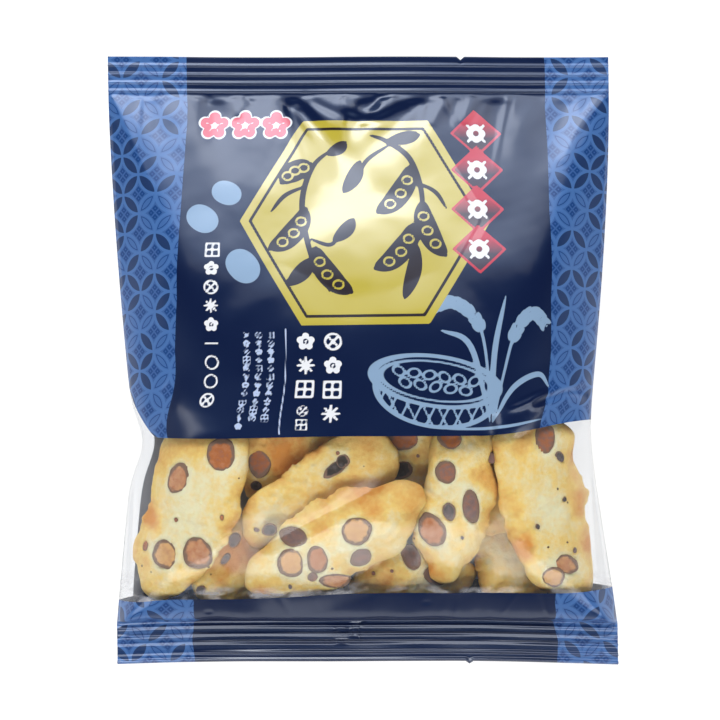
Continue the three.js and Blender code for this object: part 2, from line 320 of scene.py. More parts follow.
def seal_relief(x, y):
    """Slow waves along the seals, fading into the body, and the seals' ridges.

    A ridge rises steeply and falls off gently. Its height varies along the seal.
    """
    wave = SEAL_WAVE * np.sin(2 * math.pi * x / SEAL_WAVE_LENGTH + np.where(y > 0, *SEAL_WAVE_START))
    in_body = np.minimum(y - BODY_BOTTOM, BODY_TOP - y)
    ridges = np.zeros(np.shape(y))
    for places, facing, height, uneven in SEAL_RIDGES:
        for place in places:
            into = (y - place) * facing / GENTLE_FLANK + 0.5
            before = into * GENTLE_FLANK / STEEP_FLANK + 1
            high = height * (1 + uneven * ripples(x, 0, 90, round(10 * abs(place)), 8))
            ridges = ridges + high * (smooth(0, 1, before) - smooth(0, 1, into))
    wobble = 0.06 * ripples(x, 2 * y, 19, 12) * smooth(-3, 0, -in_body)
    return wave * (1 - smooth(0, SEAL_WAVE_REACH, in_body)) + ridges + wobble


def puckers(x, y, seed):
    """Short fine folds that run in from both seals, each with its own place, width, length and height."""
    draw = np.random.default_rng(seed)
    relief = np.zeros(np.shape(x))
    for start, inwards in ((BODY_TOP, -1), (BODY_BOTTOM, 1)):
        along = (y - start) * inwards
        inside = along > 0
        for place in np.arange(6 - HALF_WIDTH, HALF_WIDTH - 4, PUCKER_STEP):
            across = place + draw.normal(0, 1.5)
            drift, wide = draw.uniform(-0.7, 0.7), draw.uniform(0.7, 1.5)
            reach, high = draw.uniform(2, 6), draw.normal(0, 0.13)
            rise = along / reach * np.exp(1 - along / reach)
            relief += np.where(inside, high * rise * bell(x - across - drift * along, wide), 0)
    return relief


def wrinkles(x, y):
    """Relief of the small folds: bells across their routes, which fade out at both ends."""
    relief = np.zeros(np.shape(x))
    for route, width, height in WRINKLES:
        near, distance, share = along_route(x, y, route, 3 * width)
        relief[near] += height * np.sin(math.pi * share) ** 0.5 * bell(distance, width)
    return relief


def window_rise(s, y):
    """How far up the window's slanting edges draw the film's rows: the upper edge rises to the right and at
    its left corner and sinks a little between them, and the lower edge sinks to the left."""
    u = s * HALF_WIDTH
    upper = sum(rise * smooth(start, end, u) for start, end, rise in UPPER_EDGE_RISES)
    lower = sum(rise * smooth(start, end, u) for start, end, rise in LOWER_EDGE_RISES)
    upper = upper + CORNER_RISE * np.clip((-s - 1 + CORNER_SHARE) / CORNER_SHARE, 0, 1) ** 3
    return upper * bell(y - WINDOW_TOP, RISE_REACH[0]) + lower * bell(y - WINDOW_BOTTOM, RISE_REACH[1])


def rest_on_table(z, rounding=2):
    """Lets the back sink no lower than the table, with a rounded edge to the flat spot."""
    return np.where(z > rounding, z, np.where(z < -rounding, 0, (z + rounding) ** 2 / (4 * rounding)))


def end_shape(x, y):
    """How far the film's edge is cut back by the notch in the top end, and let out by the nib in the bottom
    end."""
    wedge = np.maximum(0, 1 - np.abs(x - NOTCH_X) / (NOTCH_WIDTH / 2))
    notch = NOTCH_DEPTH * smooth(TOP_END - NOTCH_REACH, TOP_END, y)
    nib = NIB_DEPTH * smooth(BOTTOM_END + NOTCH_REACH, BOTTOM_END, y)
    return wedge * (notch + nib)


def fin_depth(x):
    """How far the fin stands out of the back: even between its two edges, with a steep side at each."""
    return FIN_THICKNESS * (smooth(FIN_EDGES[0], FIN_EDGES[1], x) - smooth(FIN_EDGES[2], FIN_EDGES[3], x))


def film(s, row, front, fine=True):
    """Points of the film at s across and row along, on its front or its back.

    A row lies straight across except at the window's edges and the two ends. Its height is the middle of the
    pack, plus the swell of the cross-section, with folds, creases, the lift of the crackers and, if fine, the
    small wrinkles.
    """
    y = row + window_rise(s, row)
    full = fullness(y)
    x = s * half_width(y, s)
    middle = SEAL_LEVEL + seal_relief(x, y)
    swell = cross_section(s, y, full)
    level_start = np.maximum(0.4, 1.7 + 1.1 * ripples(x, 0, 15, 21, 8))
    swell = swell * smooth(0, level_start, np.minimum(y - BODY_BOTTOM, BODY_TOP - y))
    end = np.maximum(smooth(TOP_END - 0.3, TOP_END, row), smooth(BOTTOM_END + 0.3, BOTTOM_END, row))
    fold = 1 - smooth(0.985, 1, np.abs(s))
    gap = (FILM_GAP / 2 + FOLD_GAP * smooth(0, 0.25, full)) * (1 - end) * fold
    free = smooth(0, 0.2, full)
    edge = smooth(0, 0.25, 1 - np.abs(s))
    if front:
        folds = fold_depth(TOP_FOLDS, x, y, BODY_TOP, -1) + fold_depth(BOTTOM_FOLDS, x, y, BODY_BOTTOM, 1)
        relief = cracker_relief(x, y) - crease_depth(x, y) + rippled(x, y, FRONT_SWAY)
        lift = FRONT_SWELL * full * swell + edge * free * relief
        lift = np.maximum(lift - edge * folds * np.minimum(1, lift), 0)
        if fine:
            small = puckers(x, y, 3) + rippled(x, y, FRONT_GRAIN)
            folded = smooth(0, 0.03, 1 - np.abs(s)) * wrinkles(x, y)
            lift = lift + edge * np.minimum(1, 2 * lift) * small + folded
        z = middle + gap + lift
    else:
        lift = BACK_SWELL * full * swell
        small = rippled(x, y, BACK_SWAY) - puckers(x, y, 6)
        fin = fin_depth(s * HALF_WIDTH) * (1 - end)
        z = rest_on_table(middle - gap - lift - fin - edge * small * np.minimum(1, lift))
    bow = BOTTOM_BOW * s**2 * (1 - smooth(0, 12, y - BODY_BOTTOM))
    return np.stack([x - LEAN * y / TOP_END, y - bow - end_shape(x, row), z], axis=-1)


def height_at(x, y, fine=True):
    """Height of the front film above the place (x, y), with or without the small wrinkles."""
    across = x + LEAN * y / TOP_END
    s = np.clip(across / half_width(y, across), -1, 1)
    return film(s, y - window_rise(s, y), True, fine)[..., 2]


def film_rows(step, seal_step):
    """Places of the rows, close together in the seals, and the number of the row that starts each zone."""
    ends = [BOTTOM_END, BODY_BOTTOM, WINDOW_BOTTOM, WINDOW_TOP, BODY_TOP, TOP_END]
    steps = [seal_step, step, step, step, seal_step]
    rows = [ends[0]]
    starts = [0]
    for low, high, width in zip(ends, ends[1:], steps):
        rows.extend(np.linspace(low, high, round((high - low) / width) + 1)[1:])
        starts.append(len(rows) - 1)
    return np.array(rows), starts


def film_columns(step, extra):
    """Places of the columns, closer together towards the side folds, with some extra ones."""
    even = np.linspace(-1, 1, round(FLAT_WIDTH / step) + 1)
    return np.unique(np.concatenate([1.25 * even - 0.25 * even**3, extra]))


def flat_places(points):
    """Places of a sheet's points on the flat tube: the length of film from the middle of each row, as a share
    of that to the side fold, and the place along the pack."""
    steps = np.linalg.norm(np.diff(points, axis=1), axis=2)
    length = np.concatenate([np.zeros((len(points), 1)), np.cumsum(steps, axis=1)], axis=1)
    across = points[..., 0] + LEAN * points[..., 1] / TOP_END
    middle = np.array([np.interp(0, row, run) for row, run in zip(across, length)])
    length = length - middle[:, None]
    side = np.where(length < 0, -length[:, :1], length[:, -1:])
    return np.stack([HALF_WIDTH * length / side, points[..., 1], np.zeros(length.shape)], axis=-1)


# ------------------------------------------------------------------ meshes


def grid_faces(rows, columns):
    """Faces of a grid of points that is counted row by row, facing the side from which the rows run up and
    the columns run right."""
    corner = np.arange(rows * columns).reshape(rows, columns)
    around = [corner[:-1, :-1], corner[:-1, 1:], corner[1:, 1:], corner[1:, :-1]]
    return np.stack(around, axis=-1).reshape(-1, 4)


def two_sheets(x, y, top, bottom):
    """Points and faces of two sheets over one grid of places, facing up and down."""
    faces = grid_faces(*x.shape)
    points = np.concatenate([np.stack([x, y, z], axis=-1).reshape(-1, 3) for z in (top, bottom)])
    return points, np.concatenate([faces, faces[:, ::-1] + x.size])


def weld(points, faces, values):
    """Joins points that lie in one place, and drops those that no face uses."""
    used, faces = np.unique(faces, return_inverse=True)
    points = points[used]
    values = {name: array[used] for name, array in values.items()}
    _, kept, same = np.unique(np.round(points, 4), axis=0, return_index=True, return_inverse=True)
    faces = same.reshape(-1)[faces.reshape(-1, 4)]
    return points[kept], faces, {name: array[kept] for name, array in values.items()}


def make_piece(name, points, faces, material, values=None):
    """Makes a piece from points in millimetres; values are attributes of its points, each of one number or
    of three."""
    points, faces, values = weld(points.reshape(-1, 3), faces, values or {})
    mesh = bpy.data.meshes.new(name)
    mesh.vertices.add(len(points))
    mesh.vertices.foreach_set("co", (points * MM).astype(np.float32).ravel())
    mesh.loops.add(faces.size)
    mesh.loops.foreach_set("vertex_index", faces.astype(np.int32).ravel())
    mesh.polygons.add(len(faces))
    mesh.polygons.foreach_set("loop_start", np.arange(0, faces.size, 4, dtype=np.int32))
    mesh.update(calc_edges=True)
    mesh.validate()
    mesh.shade_smooth()
    for key, array in values.items():
        kind, field = ("FLOAT_VECTOR", "vector") if array.ndim == 2 else ("FLOAT", "value")
        attribute = mesh.attributes.new(key, kind, "POINT")
        attribute.data.foreach_set(field, array.astype(np.float32).ravel())
    mesh.materials.append(material)
    piece = bpy.data.objects.new(name, mesh)
    bpy.context.scene.collection.objects.link(piece)
    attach(piece, "root")
    return piece


# ------------------------------------------------------------------ print


FAR = 9.0  # distance in millimetres that stands for far from any print


class Ink:
    """Signed distance in millimetres from points of the film to what one ink covers: below 0 inside."""

    def __init__(self, u, v):
        self.u = u
        self.v = v
        self.distance = np.full(u.shape, FAR)

    def add(self, distance):
        """Prints a shape, given by its distance."""
        self.distance = np.minimum(self.distance, distance)

    def clear(self, distance):
        """Leaves a shape bare."""
        self.distance = np.maximum(self.distance, -distance)

    def line(self, distance, width):
        """Prints a line along a shape's outline."""
        self.add(np.abs(distance) - width / 2)

    def ellipse(self, centre, radii, turn=0):
        """Distance to an ellipse, exact for a circle."""
        along, across = in_feature(self.u, self.v, *centre, turn)
        return (np.hypot(along / radii[0], across / radii[1]) - 1) * min(radii)

    def polygon(self, corners):
        """Distance to a convex polygon: the greatest of the distances to its sides."""
        corners = np.array(corners, float)
        middle = corners.mean(axis=0)
        distance = np.full(self.u.shape, -np.inf)
        for start, end in zip(corners, np.roll(corners, -1, axis=0)):
            side = (end - start) / np.linalg.norm(end - start)
            out = np.array([side[1], -side[0]])
            out = out * np.sign(np.dot(out, start - middle))
            distance = np.maximum(distance, (self.u - start[0]) * out[0] + (self.v - start[1]) * out[1])
        return distance

    def stroke(self, route, width, taper=0.75):
        """Distance to a brush stroke: a smooth line through its route's points, thinner by taper at its
        ends."""
        near, gap, share = along_route(self.u, self.v, route, 4)
        distance = np.full(self.u.shape, FAR)
        distance[near] = gap - width / 2 * (1 - taper * (1 - np.sin(math.pi * share) ** 0.6))
        return distance

    def flower(self, centre, radius, petals, turn=0):
        """Distance to a flower with rounded petals and a notch between each two."""
        along, across = in_feature(self.u, self.v, *centre, turn)
        angle = np.arctan2(across, along)
        return np.hypot(along, across) - radius * (0.6 + 0.4 * np.abs(np.cos(petals * angle / 2)) ** 0.6)

    def star(self, centre, radius, rays, width, turn=0):
        """Distance to straight rays from a centre."""
        along, across = in_feature(self.u, self.v, *centre, turn)
        reach = np.hypot(along, across)
        off = np.abs((np.arctan2(across, along) * rays / (2 * math.pi) + 0.5) % 1 - 0.5) * 2 * math.pi / rays
        return np.maximum(reach * np.sin(np.minimum(off, math.pi / 2)) - width / 2, reach - radius)


def smooth_line(points, steps, closed=False):
    """Catmull-Rom curve through points: each stretch is a cubic whose slope at a point is half the way
    between the points beside it."""
    if closed:
        around = np.concatenate([points[-1:], points, points[:2]])
    else:
        around = np.concatenate([2 * points[:1] - points[1:2], points, 2 * points[-1:] - points[-2:-1]])
    share = np.linspace(0, 1, steps, endpoint=False)[:, None]
    stretches = []
    for before, start, end, after in zip(around, around[1:], around[2:], around[3:]):
        slope_in = (end - before) / 2
        slope_out = (after - start) / 2
        cubic = (2 * start - 2 * end + slope_in + slope_out) * share**3
        square = (3 * end - 3 * start - 2 * slope_in - slope_out) * share**2
        stretches.append(cubic + square + slope_in * share + start)
    if not closed:
        stretches.append(points[-1:])
    return np.concatenate(stretches)


def along_route(x, y, route, reach):
    """Which of the places (x, y) lie in the box round a smooth line through the route's points, widened by
    reach; and for these, their distance to the line and how far along it they are, from 0 to 1."""
    line = smooth_line(np.array(route, float), 8)
    near = (x > line[:, 0].min() - reach) & (x < line[:, 0].max() + reach)
    near = near & (y > line[:, 1].min() - reach) & (y < line[:, 1].max() + reach)
    place = np.stack([x[near], y[near]], axis=-1)
    best = np.full(len(place), FAR)
    share = np.zeros(len(place))
    for step, (start, end) in enumerate(zip(line, line[1:])):
        side = end - start
        run = np.clip((place - start) @ side / max(side @ side, 1e-9), 0, 1)
        gap = np.linalg.norm(place - start - run[:, None] * side, axis=1)
        share = np.where(gap < best, (step + run) / (len(line) - 1), share)
        best = np.minimum(best, gap)
    return near, best, share


# Inks of the front, from the first printed to the last; the diamonds' rims are red as they are
INK_ORDER = ("pale", "gold", "dark", "red", "rim", "white", "coral", "light")
GOLD_HEXAGON = [(-34.9, 41.3), (-17.2, 72.6), (20.6, 72.4), (37.6, 41.3), (19.2, 10.7), (-17.2, 10.2)]
HEXAGON_LINE_IN = 2.6  # how far in from the hexagon's edge its dark line runs, and how wide that is
HEXAGON_LINE = 0.85
DIAMONDS = [(34.8, 68.4), (34.5, 57), (34, 44.9), (33.8, 32.8)]
DIAMOND_HALF = (7.8, 7.4)  # half of a diamond's size across and along the pack
DOTS = [((-39, 49.9), 4), ((-45.7, 42), 4.4), ((-33.6, 27.7), 4.9)]  # centre and radius
BLOSSOMS = [(-43.6, 71), (-34.4, 71), (-25.2, 71)]
BASKET_AT = (21, -6)
BASKET_TURN = -8
BASKET_SLOPE = 0.14  # how much it falls to the right, for each millimetre
WEAVE = 4.2  # from one cane of the basket to the next, and a cane's width
CANE = 0.7
# Inner edges of the patterned side bands: places along, and across
LEFT_BAND = (
    [-92, -85, -79.2, -78.4, -71.5, -22, 3, 18, 33, 70, 81],
    [-52.4, -53.3, -52.6, -49.7, -48.8, -54.9, -55, -53, -52.4, -51.6, -52.2],
)
RIGHT_BAND = (
    [-92, -85, -79.2, -78.4, -71.5, -20, -10, 3, 18, 45, 70, 81],
    [57.6, 57.9, 56.5, 54, 53.2, 53.6, 55.5, 56.1, 54.9, 54.9, 56.1, 56.7],
)
LEFT_KNOT = (1.9, 55.8)  # a knot of the side bands' pattern, out from the band's inner edge and along
RIGHT_KNOT = (1.5, 56.9)
LABEL_PANEL = [(-44, 62), (44, 62), (44, -16), (-44, -16)]  # bare, on the back


def draw_pod(ink, start, end, bend, width=6.4):
    """A bean pod: a fat stroke that bulges sideways by bend, with three beans left open in it."""
    start = np.array(start, float)
    end = np.array(end, float)
    side = np.array([start[1] - end[1], end[0] - start[0]]) / np.linalg.norm(end - start)

    def spine(share):
        return start + (end - start) * share + side * bend * math.sin(math.pi * share)

    ink.add(ink.stroke([spine(share) for share in (0, 0.3, 0.7, 1)], width, 0.8))
    for share in (0.24, 0.5, 0.76):
        ink.clear(ink.ellipse(spine(share), (1.75, 1.55)))
        ink.add(ink.ellipse(spine(share), (1.15, 0.95)))


def draw_bean_sprig(ink):
    """Two bean sprigs in dark ink, with stems, pods and leaves, side by side on the gold."""
    for route, width in [
        ([(3, 68), (8, 66), (15, 60), (18, 48), (16, 34)], 1.7),
        ([(9, 65), (2, 60), (-1, 54)], 1.3),
        ([(17, 53), (22, 50), (25, 45)], 1.3),
        ([(-8, 64), (-14, 58), (-17, 46), (-14, 30), (-9, 20)], 1.7),
        ([(-16, 52), (-22, 49), (-26, 44)], 1.3),
        ([(-15, 36), (-9, 34), (-6, 37)], 1.2),
    ]:
        ink.add(ink.stroke(route, width))
    for start, end, bend in [
        ((15, 58), (5, 44), 2.2),
        ((18, 47), (24, 31), -2),
        ((15, 40), (4, 27), 2.4),
        ((-14, 58), (-23, 53), -1.4),
        ((-16, 45), (-26, 33), 2.2),
        ((-13, 33), (-3, 20), -2.2),
    ]:
        draw_pod(ink, start, end, bend)
    for start, end, width in [
        ((8, 66), (18, 68), 4.2),
        ((0, 60), (-5, 50), 4.6),
        ((16, 34), (12, 18), 4.4),
        ((-10, 62), (-4, 66), 3.8),
        ((-14, 30), (-21, 22), 4.8),
        ((-8, 35), (-2, 42), 4.2),
    ]:
        middle = ((start[0] + end[0]) / 2 + 0.8, (start[1] + end[1]) / 2)
        ink.add(ink.stroke([start, middle, end], width, 0.95))


def draw_rice_ear(ink, stem, droop):
    """An ear of rice: a bent stem whose last stretch carries pairs of grains that lean along it."""
    ink.add(ink.stroke(stem, 0.9, 0.5))
    line = smooth_line(np.array(stem, float), 10)
    for place in np.linspace(0.5, 0.98, 9):
        spot = int(place * (len(line) - 2))
        centre = line[spot]
        ahead = line[spot + 1] - centre
        turn = math.degrees(math.atan2(ahead[1], ahead[0]))
        for side in (-1, 1):
            out = math.radians(turn + side * 90)
            at = centre + 1.15 * np.array([math.cos(out), math.sin(out)])
            ink.add(ink.ellipse(at, (1.7, 0.75), turn + side * droop))


def draw_basket(ink):
    """A shallow woven basket with beans in it, drawn in lines, and ears of rice behind it."""
    x, y = BASKET_AT
    rim = ink.ellipse(BASKET_AT, (18.5, 7.2), BASKET_TURN)
    ink.line(rim, 1.1)
    ink.line(ink.ellipse(BASKET_AT, (16.2, 5.6), BASKET_TURN), 0.6)
    bowl = ink.ellipse((x, y - 3), (17.6, 10.2), BASKET_TURN)
    above = ink.v - y + (ink.u - x) * BASKET_SLOPE
    for lean in (0.5, -0.5):
        cane = np.abs((ink.u - x + lean * ink.v) % WEAVE - WEAVE / 2) - CANE / 2
        ink.add(np.maximum.reduce([cane, bowl, -rim - 0.2, above]))
    ink.line(np.where(above < 0, bowl, FAR), 1.1)
    draw = np.random.default_rng(11)
    for step in range(11):
        along = (step % 6 - 2.5) * 4.4 + 2.2 * (step // 6)
        across = 1.5 - 3.1 * (step // 6)
        centre = (x + along + BASKET_SLOPE * across, y + across - BASKET_SLOPE * along)
        bean = ink.ellipse(centre, (1.75, 1.25), draw.uniform(-40, 40))
        ink.line(bean, 0.6)
    draw_rice_ear(ink, [(38, -18), (41, -4), (44, 8), (49, 14), (54, 10)], 18)
    draw_rice_ear(ink, [(37, -18), (36, -2), (33, 11), (26, 17), (19, 15)], 18)
    for route in [
        [(38, -18), (44, -8), (52, -4), (56, -8)],
        [(37, -18), (31, 4), (22, 9)],
        [(38, -18), (38, 2), (41, 19)],
    ]:
        ink.add(ink.stroke(route, 1.7, 0.9))
    ink.add(ink.stroke([(24, -20), (40, -19.5), (55, -17)], 0.9))


def draw_mark(ink, kind, centre, size):
    """One small ornament: a blossom, a ringed star, a square lattice, spokes, a diamond, a ring or a bar."""
    x, y = centre
    half = size / 2
    line = 0.13 * size
    ring = np.abs(ink.ellipse(centre, (half - line / 2, half - line / 2))) - line / 2
    dot = ink.ellipse(centre, (line, line))
    if kind == "blossom":
        ink.add(np.maximum(ink.flower(centre, half, 5, 90), -ink.ellipse(centre, (1.3 * line, 1.3 * line))))
        ink.add(ink.ellipse(centre, (0.6 * line, 0.6 * line)))
    elif kind == "star":
        ink.add(np.minimum(ring, ink.star(centre, half, 4, line, 45)))
    elif kind == "lattice":
        box = np.maximum(np.abs(ink.u - x), np.abs(ink.v - y))
        cross = np.minimum(np.abs(ink.u - x), np.abs(ink.v - y)) - line / 2
        ink.add(np.maximum(np.minimum(np.abs(box - half + line / 2) - line / 2, cross), box - half))
    elif kind == "spokes":
        ink.add(np.minimum(ink.star(centre, half, 8, line, 0), dot))
    elif kind == "diamond":
        diamond = (np.abs(ink.u - x) + np.abs(ink.v - y) - half) * 0.7
        ink.add(np.minimum(np.abs(diamond + line / 2) - line / 2, dot))
    elif kind == "ring":
        ink.add(ring)
    else:
        ink.add(np.maximum(np.abs(ink.u - x) - half, np.abs(ink.v - y) - line / 2))


def draw_marks(ink, top, bottom, kinds, size):
    """A column of small ornaments at even steps from top to bottom."""
    for step, kind in enumerate(kinds):
        share = step / max(len(kinds) - 1, 1)
        centre = (top[0] + (bottom[0] - top[0]) * share, top[1] + (bottom[1] - top[1]) * share)
        draw_mark(ink, kind, centre, size)


def front_inks(u, v):
    """The inks of the front, as named distances, with the place inside a diamond from 0 at its top."""
    inks = {name: Ink(u, v) for name in INK_ORDER}
    hexagon = inks["gold"].polygon(GOLD_HEXAGON)
    inks["gold"].add(hexagon)
    inks["dark"].line(hexagon + HEXAGON_LINE_IN, HEXAGON_LINE)
    draw_bean_sprig(inks["dark"])
    for centre, radius in DOTS:
        wobble = 0.12 * radius * np.cos(2 * np.arctan2(v - centre[1], u - centre[0]) + radius)
        inks["pale"].add(inks["pale"].ellipse(centre, (radius, radius)) + wobble)
    draw_basket(inks["pale"])
    fade = np.zeros(u.shape)
    for x, y in DIAMONDS:
        across, along = DIAMOND_HALF
        corners = [(x - across, y), (x, y + along), (x + across, y), (x, y - along)]
        diamond = inks["red"].polygon(corners)
        inks["red"].add(diamond)
        inks["rim"].clear(diamond)
        inks["rim"].line(diamond + 0.35, 0.7)
        fade = np.where(diamond < 0, (y + along - v) / (2 * along), fade)
        inks["white"].add(inks["white"].star((x, y), 3.9, 4, 0.8, 45))
        inks["white"].add(inks["white"].flower((x, y), 2.9, 4, 0))
        inks["white"].clear(inks["white"].ellipse((x, y), (0.9, 0.9)))
    for centre in BLOSSOMS:
        inks["white"].add(inks["white"].flower(centre, 4.9, 5, 90))
        inks["coral"].add(inks["coral"].flower(centre, 4.3, 5, 90))
        inks["coral"].clear(inks["coral"].star(centre, 2.6, 5, 0.35, 90))
        inks["coral"].clear(inks["coral"].ellipse(centre, (0.9, 0.9)))
    white = inks["white"]
    column = ["lattice", "blossom", "star", "spokes", "blossom", "bar", "ring", "ring", "star"]
    draw_marks(white, (-42.4, 32.6), (-43.5, -11.6), column, 4.3)
    draw_marks(white, (-8.4, 5.5), (-8.8, -15.4), ["star", "blossom", "lattice", "spokes"], 5.2)
    draw_marks(white, (-16.1, 5.5), (-16.3, -8.3), ["blossom", "spokes", "lattice"], 5.2)
    draw_marks(white, (-16.3, -14.6), (-16.4, -18.6), ["star", "lattice"], 3.2)
    light = inks["light"]
    small = ["spokes", "diamond", "star", "blossom", "lattice"]
    for place, count, first in ((-32.9, 12, 0), (-29.4, 11, 2), (-26, 11, 4)):
        kinds = [small[(first + step * 3) % 5] for step in range(count)]
        draw_marks(light, (place, 7.4), (place - 0.3, 7.4 - 2.42 * (count - 1)), kinds, 2.2)
    light.add(light.stroke([(-21.7, 9.1), (-22.2, -21.3)], 0.45, 0))
    named = {name: ink.distance for name, ink in inks.items()}
    return {**named, "fade": fade}


def band_places(u, v):
    """Places in the patterned side bands, measured from one of the pattern's knots, out and along; and how
    far out from the band's inner edge."""
    left = np.interp(v, *LEFT_BAND) - u
    right = u - np.interp(v, *RIGHT_BAND)
    out = np.maximum(left, right)
    is_left = left > right
    knot_out = np.where(is_left, LEFT_KNOT[0], RIGHT_KNOT[0])
    knot_along = np.where(is_left, LEFT_KNOT[1], RIGHT_KNOT[1])
    return np.stack([out - knot_out, v - knot_along, out], axis=-1)


# ------------------------------------------------------------------ food

